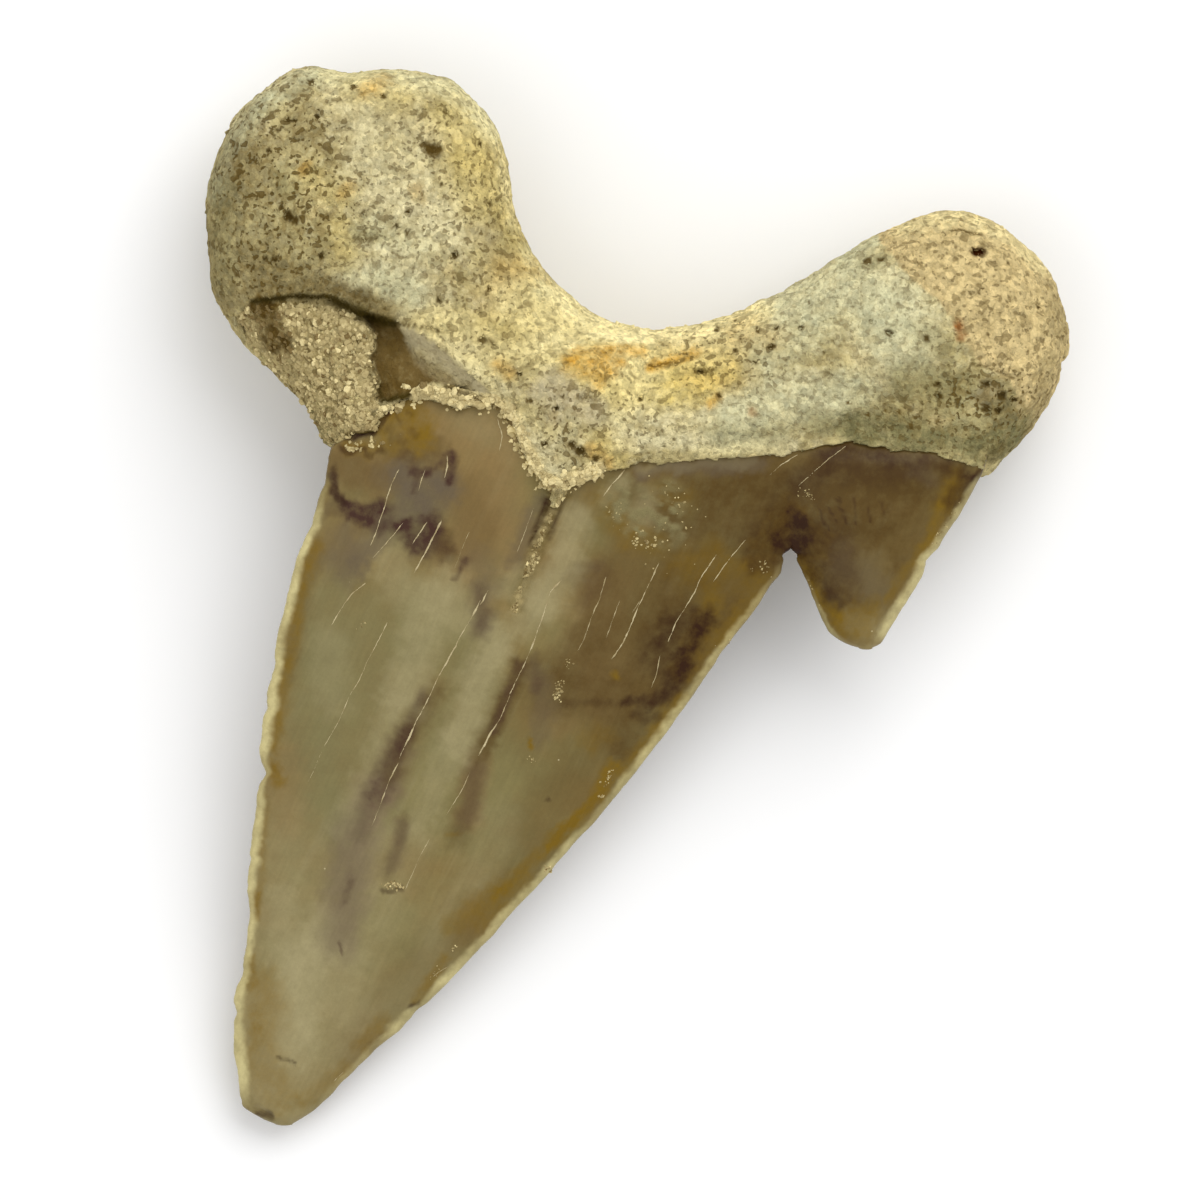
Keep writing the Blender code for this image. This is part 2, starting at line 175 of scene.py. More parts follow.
# Nicks in the cutting edges: which edge, y on the map, depth and half length in map units. Minus is a bulge.
CROWN_NICKS = [
    ("left", 484, 1.5, 5), ("left", 524, 1.5, 7), ("left", 664, 2.4, 8), ("left", 690, -1.5, 6),
    ("left", 708, 2.6, 6), ("left", 748, -2.2, 10), ("left", 773, 5.6, 9), ("left", 796, -1.4, 8),
    ("left", 861, 1.6, 6), ("left", 892, -1.4, 5), ("left", 930, -1.4, 12), ("left", 976, 2.6, 9),
    ("left", 1013, 3.6, 7), ("left", 1055, -1.5, 14), ("left", 1108, -2.2, 5),
    ("right", 555, 3.8, 4), ("right", 573, -3.6, 10), ("right", 652, 1.4, 10), ("right", 825, -1.6, 12),
    ("right", 864, 1.0, 6), ("right", 935, -1.8, 18), ("right", 1011, 3.0, 6), ("right", 1032, -2.9, 9),
    ("right", 1050, 1.2, 5), ("right", 1096, -2.0, 8),
]
CUSPLET_NICKS = [("left", 555, 3.4, 4), ("right", 548, -2.0, 6), ("right", 561, 1.6, 3), ("right", 620, -1.2, 8),
                 ("left", 632, -1.5, 5)]

# The pale rims of the cutting edges: y on the map, how pale, and how wide in map units.
RIMS = {
    ("crown", "left"): [
        (470, 0, 5), (500, 0.3, 6), (530, 0.75, 8), (560, 0.9, 9), (620, 0.95, 10), (680, 0.95, 10), (700, 1.0, 12),
        (745, 1.0, 12), (756, 0.7, 8), (775, 0.35, 5), (800, 0.9, 9), (880, 0.9, 10), (905, 0.5, 6), (930, 0.75, 9),
        (970, 0.55, 7), (1000, 0.9, 12), (1015, 0.7, 8), (1040, 0.95, 13), (1080, 0.9, 12), (1100, 0.5, 8),
        (1110, 0, 5),
    ],
    ("crown", "right"): [
        (555, 0, 4), (575, 0.2, 5), (600, 0.35, 7), (640, 0.5, 8), (700, 0.55, 9), (780, 0.55, 9), (800, 0.32, 6),
        (860, 0.62, 8), (900, 0.6, 9), (930, 0.55, 9), (980, 0.75, 10), (1004, 0.35, 6), (1025, 0.7, 11),
        (1050, 0.35, 7), (1090, 0.15, 6), (1110, 0, 5),
    ],
    ("cusplet", "left"): [(570, 0, 4), (595, 0.2, 4), (610, 0.5, 5), (630, 0.45, 6), (642, 0.1, 5)],
    ("cusplet", "right"): [
        (472, 0, 4), (485, 0.4, 7), (545, 0.55, 8), (556, 0.75, 9), (600, 0.8, 11), (632, 0.6, 10), (643, 0.15, 8),
    ],
}

# The root's lip side on the large lobe has lost flakes. Outlines on the map.
SAND_HOLLOW = [(236, 318), (252, 303), (264, 299), (300, 297), (332, 299), (348, 304), (366, 316), (380, 322),
               (379, 345), (371, 362), (381, 384), (374, 398), (392, 410), (378, 430), (345, 440), (322, 446),
               (270, 380)]
SMOOTH_HOLLOW = [(366, 315), (382, 320), (398, 326), (406, 340), (420, 364), (444, 384), (424, 386), (411, 396),
                 (394, 403), (374, 399), (381, 384), (371, 362), (379, 345)]
SLIVER = [(402, 328), (416, 331), (432, 341), (450, 356), (468, 372), (486, 388), (492, 395), (478, 394),
          (460, 389), (444, 386), (430, 379), (416, 366), (408, 348)]
SLIVER_TOP = [(398, 326), (430, 341), (452, 357), (489, 390), (499, 404)]
FRINGE_LINE = [(384, 407), (408, 396), (430, 392), (450, 399), (475, 401), (499, 405), (512, 421), (524, 446),
               (534, 468), (547, 482), (562, 486), (580, 478), (597, 470)]

# Pits in the root that are large enough to see one by one: x, y, radius and depth in map units.
PITS = [
    (425, 147, 5, 5), (433, 152, 6, 6), (440, 150, 4, 4), (290, 218, 5, 7), (297, 222, 4, 5), (284, 211, 3, 4),
    (396, 228, 3, 7), (408, 214, 3, 6), (455, 258, 4, 7), (440, 303, 3, 6), (490, 292, 3, 7), (323, 258, 3, 6),
    (267, 260, 3, 6), (276, 262, 3, 5), (354, 89, 3, 5), (312, 84, 4, 5), (288, 122, 4, 5), (296, 122, 3, 5),
    (318, 120, 3, 5), (445, 113, 3, 4), (270, 153, 3, 5), (443, 187, 2, 4), (384, 98, 3, 4), (449, 126, 3, 4),
    (366, 217, 3, 4), (408, 235, 4, 3), (366, 240, 4, 3), (490, 205, 3, 4), (480, 146, 3, 4), (482, 342, 4, 4),
    (520, 376, 3, 5), (530, 402, 4, 5), (557, 410, 3, 7), (572, 445, 4, 6), (580, 452, 5, 7), (545, 445, 4, 5),
    (640, 400, 3, 5), (596, 460, 4, 5), (770, 348, 4, 6), (776, 329, 3, 6), (800, 329, 3, 5), (755, 363, 3, 5),
    (718, 397, 3, 5), (700, 372, 3, 5), (887, 334, 4, 7), (869, 322, 2, 4), (866, 415, 3, 7), (884, 412, 3, 5),
    (898, 412, 3, 4), (915, 418, 4, 5), (937, 397, 4, 6), (925, 340, 4, 4), (935, 385, 3, 5), (866, 263, 5, 4),
    (880, 261, 3, 4), (985, 385, 4, 6), (1000, 396, 5, 6), (985, 410, 5, 6), (997, 412, 4, 6), (1012, 400, 3, 5),
    (935, 422, 3, 4), (910, 427, 4, 4), (1025, 330, 2, 4), (1038, 308, 2, 4), (981, 290, 2, 4), (757, 331, 3, 4),
    (664, 447, 2, 4), (674, 440, 2, 4), (847, 404, 3, 5), (802, 429, 2, 4), (716, 331, 3, 3), (735, 352, 3, 4),
]
PIT_CROWDS = [  # places with many small pits: x, y and how far they spread
    (300, 220, 80), (300, 120, 70), (560, 440, 40), (600, 400, 60), (740, 360, 60), (970, 400, 45),
    (890, 410, 60), (470, 180, 60), (440, 300, 60), (1000, 300, 60), (820, 330, 60), (320, 380, 60),
]
PITS_IN_A_CROWD = 24
VEIN_HOLE = [(974, 253), (977, 254), (980, 253)]


def lines(numbers, *rows):
    """Lines on the map, from rows that hold a few numbers and then the x and y of every point."""
    return [(np.reshape(row[numbers:], (-1, 2)).astype(float), *row[:numbers]) for row in rows]


# Fine cracks in the root: half width and depth in map units, then points.
ROOT_CRACKS = lines(2,
    (1.4, 3, 395, 325, 412, 327, 432, 329, 442, 333), (1.4, 2.5, 650, 368, 668, 366, 684, 361),
    (1.8, 3, 694, 373, 703, 374, 712, 371),
    (1.0, 2, 757, 379, 772, 376, 785, 381, 800, 383, 815, 383, 826, 374, 838, 382, 846, 389),
    (1.2, 3, 949, 232, 960, 231, 970, 235, 982, 236), (2.0, 1.5, 512, 372, 530, 366, 545, 354),
    (2.0, 1.2, 550, 348, 568, 343, 586, 333), (1.2, 2, 575, 396, 590, 401, 602, 402),
    (2.0, 2.5, 356, 240, 366, 243, 378, 240), (1.3, 2.5, 968, 364, 985, 368, 1000, 374, 1012, 380),
    (1.6, 2.5, 484, 340, 492, 344, 496, 349),
)

# Hairline cracks in the enamel that hold pale mineral: half width in map units, then points.
MINERAL_CRACKS = lines(1,
    (0.9, 481, 600, 472, 618, 462, 634, 452, 655, 440, 677, 430, 697, 418, 720, 408, 742, 399, 762),
    (0.6, 399, 762, 390, 780, 383, 800, 378, 814, 372, 828),
    (0.9, 562, 580, 551, 592, 545, 612, 537, 634, 530, 653, 520, 675, 510, 695),
    (0.8, 510, 695, 500, 718, 490, 733, 478, 757), (0.5, 470, 772, 462, 790, 452, 806, 446, 817),
    (0.9, 659, 563, 650, 585, 641, 604, 634, 622, 625, 643, 612, 662),
    (0.6, 606, 577, 600, 598, 592, 618, 584, 640, 577, 652), (0.7, 716, 555, 702, 576, 690, 600, 676, 622, 668, 642),
    (0.5, 660, 655, 656, 672, 650, 688), (0.5, 745, 540, 728, 560, 712, 582),
    (0.8, 404, 523, 396, 534, 386, 545, 372, 560), (0.6, 368, 582, 352, 594, 342, 608, 332, 624),
    (0.8, 428, 522, 420, 533, 412, 545), (0.9, 443, 520, 434, 538, 426, 554, 414, 576),
    (0.7, 400, 470, 393, 485, 386, 505, 378, 527, 370, 547), (0.8, 448, 456, 449, 466, 446, 478),
    (0.5, 426, 470, 421, 482, 418, 492), (0.4, 388, 622, 380, 640, 370, 660, 362, 680, 350, 700, 340, 722, 325, 748),
    (0.6, 322, 752, 315, 768, 308, 782), (0.7, 489, 590, 484, 600, 480, 606), (0.25, 470, 532, 462, 552, 455, 570),
    (0.4, 430, 838, 420, 856, 412, 874, 404, 890), (0.5, 846, 446, 828, 460, 812, 474, 798, 487),
    (0.6, 797, 455, 780, 465, 768, 476), (0.7, 498, 420, 503, 436, 500, 452), (0.8, 625, 470, 612, 484, 602, 498),
    (0.9, 448, 967, 438, 972, 432, 977), (0.9, 343, 1073, 338, 1078, 332, 1084), (0.4, 640, 600, 632, 612),
    (0.4, 620, 600, 612, 622, 606, 640), (0.4, 534, 508, 527, 530, 518, 552),
)
FISSURE = [(560, 487), (556, 500), (550, 514), (542, 532), (536, 550), (528, 572), (521, 590), (516, 608)]

# Open gaps at the sand's edges, free of grains, and the brown patch where the grains are dark.
BARE_LINES = [[(384, 402), (396, 400), (410, 396)], [(262, 300), (300, 298), (342, 301), (362, 314), (380, 324)]]
BROWN_PATCH = [(264, 308), (270, 322), (280, 344)]

# Sand that sticks to the tooth in bands: the band's half width, its grains and their least and largest width, all
# in map units, then points.
SAND_LINES = lines(4,
    (8, 640, 2.4, 9.0, *np.ravel(FRINGE_LINE)), (6, 40, 2.0, 7.0, 566, 488, 575, 482, 583, 476),
    (3.0, 12, 2.2, 6.0, 563, 496, 558, 503), (2.4, 12, 2.2, 5.6, 553, 512, 550, 522),
    (2.8, 22, 2.2, 6.0, 546, 530, 541, 540, 539, 546), (4.6, 60, 2.4, 7.0, 538, 554, 532, 564, 524, 577),
    (3.0, 12, 2.2, 5.4, 521, 587, 519, 592), (4.0, 18, 2.0, 5.0, 517, 602, 514, 611),
    (5, 30, 2.0, 5.5, 342, 441, 358, 446, 375, 444, 390, 446), (3, 8, 3.0, 7.0, 351, 450, 358, 451),
    (7, 26, 1.4, 4.0, 632, 538, 645, 546, 654, 540), (12, 18, 1.0, 3.0, 612, 505, 620, 522),
    (16, 26, 1.0, 3.0, 660, 486, 680, 500, 690, 524), (26, 22, 1.0, 2.6, 640, 510, 660, 560),
    (5, 46, 1.2, 3.0, 560, 680, 556, 692, 554, 700), (4, 10, 1.0, 2.2, 566, 655, 570, 668),
    (4, 46, 1.4, 3.6, 384, 886, 392, 884, 402, 887), (4, 26, 1.2, 3.0, 612, 770, 606, 782, 600, 800),
    (4, 16, 1.6, 3.6, 545, 868, 551, 872), (3, 26, 1.0, 2.4, 700, 690, 730, 640, 770, 590),
    (3, 30, 1.0, 2.6, 930, 545, 945, 525, 962, 498), (3, 12, 1.0, 2.2, 820, 610, 806, 580),
    (5, 24, 1.0, 2.6, 800, 492, 812, 497), (4, 18, 1.0, 2.4, 760, 560, 772, 575, 740, 566),
    (3, 10, 1.0, 2.4, 440, 968, 430, 980), (3, 8, 1.0, 2.4, 530, 758, 534, 762), (2, 7, 1.0, 2.4, 456, 946, 452, 950),
    (3, 8, 0.8, 1.8, 360, 628, 366, 622),
)

# Stains, tints, painted light and painted shade, as strokes on the map: half width in map units and strength, then
# points.
ENAMEL_STAINS = {
    "brown": lines(2,
        (60, 0.55, 625, 480, 660, 560, 650, 640, 610, 700), (55, 0.75, 690, 490, 735, 545, 690, 610),
        (48, 0.9, 740, 470, 790, 500, 850, 490, 940, 480), (54, 0.85, 850, 480, 865, 540, 860, 590),
        (24, 0.55, 345, 465, 385, 480), (12, 0.7, 440, 536, 448, 556), (26, 0.35, 468, 500, 478, 540),
        (24, 0.5, 605, 575, 590, 640, 560, 670), (11, 0.7, 520, 668, 498, 715, 480, 755),
        (14, 0.4, 484, 735, 474, 775, 466, 815, 458, 838), (24, 0.5, 765, 570, 715, 645, 670, 710),
        (24, 0.55, 772, 562, 792, 525, 828, 560), (16, 0.4, 632, 752, 592, 808), (20, 0.35, 830, 540, 838, 590),
        (9, 0.6, 405, 820, 398, 848, 388, 872), (14, 0.6, 436, 689, 407, 733, 387, 771),
        (28, 0.55, 540, 690, 580, 690, 640, 690, 625, 740), (26, 0.3, 600, 750, 560, 790, 520, 830),
        (12, 0.3, 320, 545, 300, 600, 285, 680), (30, 0.35, 600, 636, 650, 625, 690, 690),
        (30, 0.25, 520, 730, 560, 775), (22, 0.4, 930, 490, 950, 512, 915, 560), (12, 0.5, 395, 452, 440, 446),
        (26, 0.35, 560, 850, 500, 895, 450, 940, 400, 990, 350, 1050),
    ),
    # Partly the darkest brown stains, partly painted shadow along the enamel just below the root's edge, in the
    # fissure and in the pit at the root's point.
    "umber_and_shadow": lines(2,
        (13, 1.0, 783, 542, 792, 546, 800, 528), (19, 0.5, 766, 556, 786, 520, 814, 545),
        (10, 0.35, 806, 560, 826, 590), (26, 0.25, 758, 542, 790, 506, 828, 540), (3, 0.35, 396, 420, 401, 425),
        (4, 0.3, 413, 431, 417, 437), (5, 0.3, 401, 437, 406, 441), (3, 0.25, 408, 412, 412, 416),
        (5, 0.3, 388, 432, 392, 438), (12, 0.8, 706, 620, 694, 640, 682, 654),
        (13, 0.55, 662, 636, 672, 622, 690, 620), (20, 0.4, 652, 652, 668, 668),
        (5, 0.25, 560, 704, 590, 702, 618, 702), (5, 0.65, 624, 702, 636, 699),
        (9, 0.7, 645, 704, 662, 698, 672, 684, 688, 664), (6, 0.4, 636, 716, 655, 720),
        (22, 0.4, 840, 468, 875, 462, 905, 472), (7, 0.4, 812, 566, 822, 590, 836, 606),
        (9, 0.55, 962, 480, 948, 506), (16, 0.2, 838, 560, 845, 590),
        (8, 0.4, 815, 456, 850, 452, 900, 460, 945, 468, 974, 478), (16, 0.35, 800, 480, 830, 462),
        (5, 0.7, 335, 470, 336, 488, 345, 502), (4, 0.5, 342, 450, 365, 453, 384, 450),
        (4, 0.9, 548, 500, 545, 512, 538, 528, 532, 545), (3, 0.5, 563, 500, 556, 520, 548, 540),
        (6, 1.0, 556, 488, 562, 492), (4, 0.8, 345, 437, 372, 434, 384, 420, 398, 404),
        (4, 0.6, 258, 1113, 270, 1119), (1.6, 0.5, 276, 1059, 286, 1061, 294, 1065), (4, 0.6, 412, 1007, 420, 1003),
        (4, 0.4, 380, 1042, 372, 1048), (1.4, 0.5, 820, 508, 828, 530), (1.5, 0.55, 838, 498, 845, 526),
        (1.4, 0.5, 853, 498, 853, 526), (1.4, 0.45, 868, 498, 870, 520), (1.2, 0.35, 880, 500, 884, 516),
        (1.2, 0.4, 829, 505, 836, 522), (2.4, 0.6, 545, 803, 547, 801), (3, 0.5, 382, 890, 392, 892, 402, 889),
        (6, 0.6, 980, 474, 968, 490),
    ),
    "rosy": lines(2,
        (24, 0.7, 345, 462, 386, 478), (40, 0.65, 440, 420, 500, 440, 480, 500, 470, 540),
        (18, 0.45, 520, 520, 512, 570), (24, 0.4, 585, 490, 560, 530, 548, 590),
        (40, 0.6, 600, 600, 590, 640, 610, 690), (20, 0.35, 470, 565, 492, 600),
        (12, 0.6, 640, 474, 700, 468, 760, 466), (20, 0.4, 548, 690, 560, 720), (14, 0.5, 480, 760, 468, 820),
        (30, 0.3, 270, 1020, 280, 1090), (24, 0.4, 285, 770, 290, 820),
    ),
    "mauve": lines(2,
        (22, 0.85, 372, 796, 362, 835, 352, 880, 340, 925, 337, 940), (17, 0.5, 398, 755, 388, 790),
        (8, 0.5, 402, 824, 396, 862), (13, 0.4, 476, 765, 470, 812),
    ),
    "olive": lines(2,
        (40, 0.6, 335, 600, 325, 680, 305, 770), (40, 0.5, 410, 610, 385, 720, 355, 810),
        (34, 0.45, 480, 640, 450, 740), (22, 0.4, 640, 485, 680, 500, 660, 545), (26, 0.3, 560, 860, 500, 900),
    ),
    "purple": lines(2,
        (4, 0.6, 335, 474, 337, 490, 346, 504), (8, 0.9, 348, 508, 364, 513, 380, 508), (6, 0.8, 354, 518, 370, 520),
        (14, 0.4, 340, 506, 366, 516, 384, 512), (7, 0.6, 378, 530, 392, 526, 402, 526), (4, 0.8, 398, 524, 400, 527),
        (4, 0.8, 407, 524, 408, 530), (11, 0.9, 414, 540, 424, 545, 432, 532, 434, 523), (9, 0.6, 406, 530, 436, 524),
        (15, 0.35, 400, 535, 432, 552), (8, 0.45, 406, 458, 412, 466), (5, 0.7, 412, 474, 426, 474, 440, 466),
        (8, 0.3, 416, 462, 440, 458), (5, 0.85, 453, 457, 453, 470, 450, 484), (3, 0.5, 445, 456, 447, 474),
        (3, 0.5, 414, 492, 418, 480), (4, 0.6, 462, 566, 467, 558), (3, 0.6, 455, 579, 461, 568),
        (8, 0.4, 480, 592, 485, 612, 478, 634), (13, 0.5, 401, 738, 389, 767, 376, 795),
        (12, 0.25, 371, 798, 359, 834), (6, 0.15, 352, 872, 343, 900), (8, 0.45, 426, 696, 411, 722, 399, 747),
        (6, 0.35, 404, 824, 398, 848, 392, 866), (4, 0.3, 352, 880, 346, 898), (2.2, 0.45, 338, 944, 341, 954),
        (6, 0.5, 520, 662, 506, 700, 494, 730), (7, 0.35, 532, 654, 538, 668, 536, 688),
        (9, 0.25, 478, 772, 472, 800, 464, 826), (9, 0.3, 440, 536, 446, 552),
        (12, 0.2, 600, 572, 594, 590, 586, 600),
    ),
    "grey": lines(2,
        (22, 0.9, 402, 478, 425, 500, 440, 490), (14, 0.6, 404, 505, 430, 510), (22, 0.6, 348, 540, 345, 562),
        (13, 0.7, 385, 520, 375, 545, 360, 562), (9, 0.55, 540, 503, 528, 525, 515, 560),
        (12, 0.3, 586, 568, 575, 575), (13, 0.5, 482, 590, 484, 625), (16, 0.3, 478, 560, 490, 580),
        (14, 0.35, 535, 672, 545, 700, 540, 730), (24, 0.35, 352, 830, 345, 900, 338, 935),
        (22, 0.3, 845, 560, 870, 590), (10, 0.3, 915, 474, 930, 478), (6, 0.6, 545, 484, 552, 480),
        (9, 0.6, 640, 474, 700, 469, 760, 466), (14, 0.4, 402, 520, 418, 545),
    ),
    # Partly the enamel's pale bands and bleached tip, partly painted sheen down the blade's left middle and a painted
    # highlight on the fold right of the fissure.
    "pale": lines(2,
        (24, 0.8, 305, 950, 300, 1000, 294, 1045), (12, 0.4, 288, 1040, 280, 1052), (20, 0.5, 322, 925, 310, 965),
        (22, 0.35, 345, 960, 345, 1005), (22, 0.55, 430, 605, 415, 660, 402, 700),
        (15, 0.35, 395, 700, 370, 770, 345, 830), (20, 0.65, 495, 640, 478, 685, 460, 740),
        (18, 0.4, 450, 750, 430, 800, 418, 830), (14, 0.4, 500, 650, 484, 664), (22, 0.4, 385, 555, 402, 585),
        (24, 0.5, 445, 585, 460, 615), (18, 0.6, 578, 520, 566, 560, 545, 605), (16, 0.5, 535, 600, 522, 625),
        (8, 0.45, 605, 500, 622, 484), (24, 0.2, 500, 820, 492, 845, 480, 870), (16, 0.12, 470, 420, 505, 445),
        (10, 0.3, 862, 642, 876, 630, 884, 616), (14, 0.15, 880, 600, 870, 560), (16, 0.35, 856, 622, 872, 628),
        (6, 0.35, 640, 470, 700, 466, 750, 463), (14, 0.4, 520, 575, 505, 590), (16, 0.4, 280, 900, 280, 960),
        (14, 0.4, 645, 500, 640, 520), (20, 0.25, 330, 640, 335, 700), (10, 0.4, 262, 1090, 280, 1110),
        (56, 0.3, 275, 860, 262, 960, 285, 1090), (30, 0.55, 250, 1010, 255, 1070, 290, 1105),
        (50, 0.35, 380, 860, 350, 940, 330, 1040), (24, 0.25, 440, 960, 380, 1030), (20, 0.15, 470, 880, 430, 930),
    ),
    "ochre": lines(2,
        (17, 0.72, 388, 424, 404, 414, 420, 434), (12, 0.35, 428, 420, 420, 446), (12, 0.4, 388, 446, 410, 446),
        (8, 0.5, 350, 448, 375, 450), (20, 0.55, 770, 545, 790, 518, 814, 545),
        (14, 0.5, 712, 600, 700, 640, 684, 668), (26, 0.42, 258, 990, 262, 1070, 285, 1100),
        (13, 0.4, 526, 880, 482, 922), (12, 0.5, 956, 482, 940, 505), (12, 0.5, 846, 634, 866, 636),
        (12, 0.4, 760, 590, 720, 645), (8, 0.6, 318, 545, 304, 580, 292, 640, 280, 700, 274, 745),
        (8, 0.75, 274, 765, 280, 780), (6, 0.35, 265, 800, 263, 850, 258, 900), (5, 0.6, 257, 895, 255, 918),
        (5, 0.45, 252, 955, 254, 985), (8, 0.4, 253, 1010, 256, 1045),
        (8, 0.95, 612, 768, 598, 796, 575, 820, 552, 842), (7, 0.5, 548, 848, 520, 872, 495, 896),
        (11, 0.4, 500, 888, 470, 912, 452, 925), (6, 0.5, 446, 958, 428, 982, 416, 1000),
        (10, 0.5, 382, 1026, 362, 1046), (8, 0.35, 345, 1068, 320, 1090, 302, 1102),
        (9, 0.6, 682, 700, 652, 738, 622, 772), (7, 0.4, 762, 600, 732, 638, 706, 672),
        (8, 0.65, 952, 488, 936, 528, 916, 560), (6, 0.5, 906, 568, 888, 600),
        (8, 0.85, 808, 566, 818, 595, 834, 616), (6, 0.6, 800, 555, 806, 570), (3.4, 1.0, 530, 742, 531, 743),
        (14, 0.3, 590, 740, 600, 735), (4, 0.7, 615, 672, 616, 676), (24, 0.4, 690, 565, 745, 570),
        (16, 0.5, 845, 620, 870, 612), (6, 0.4, 905, 600, 920, 565), (16, 0.35, 600, 500, 622, 530, 650, 545),
        (14, 0.35, 660, 485, 680, 500), (3, 0.3, 448, 833, 460, 834),
    ),
}
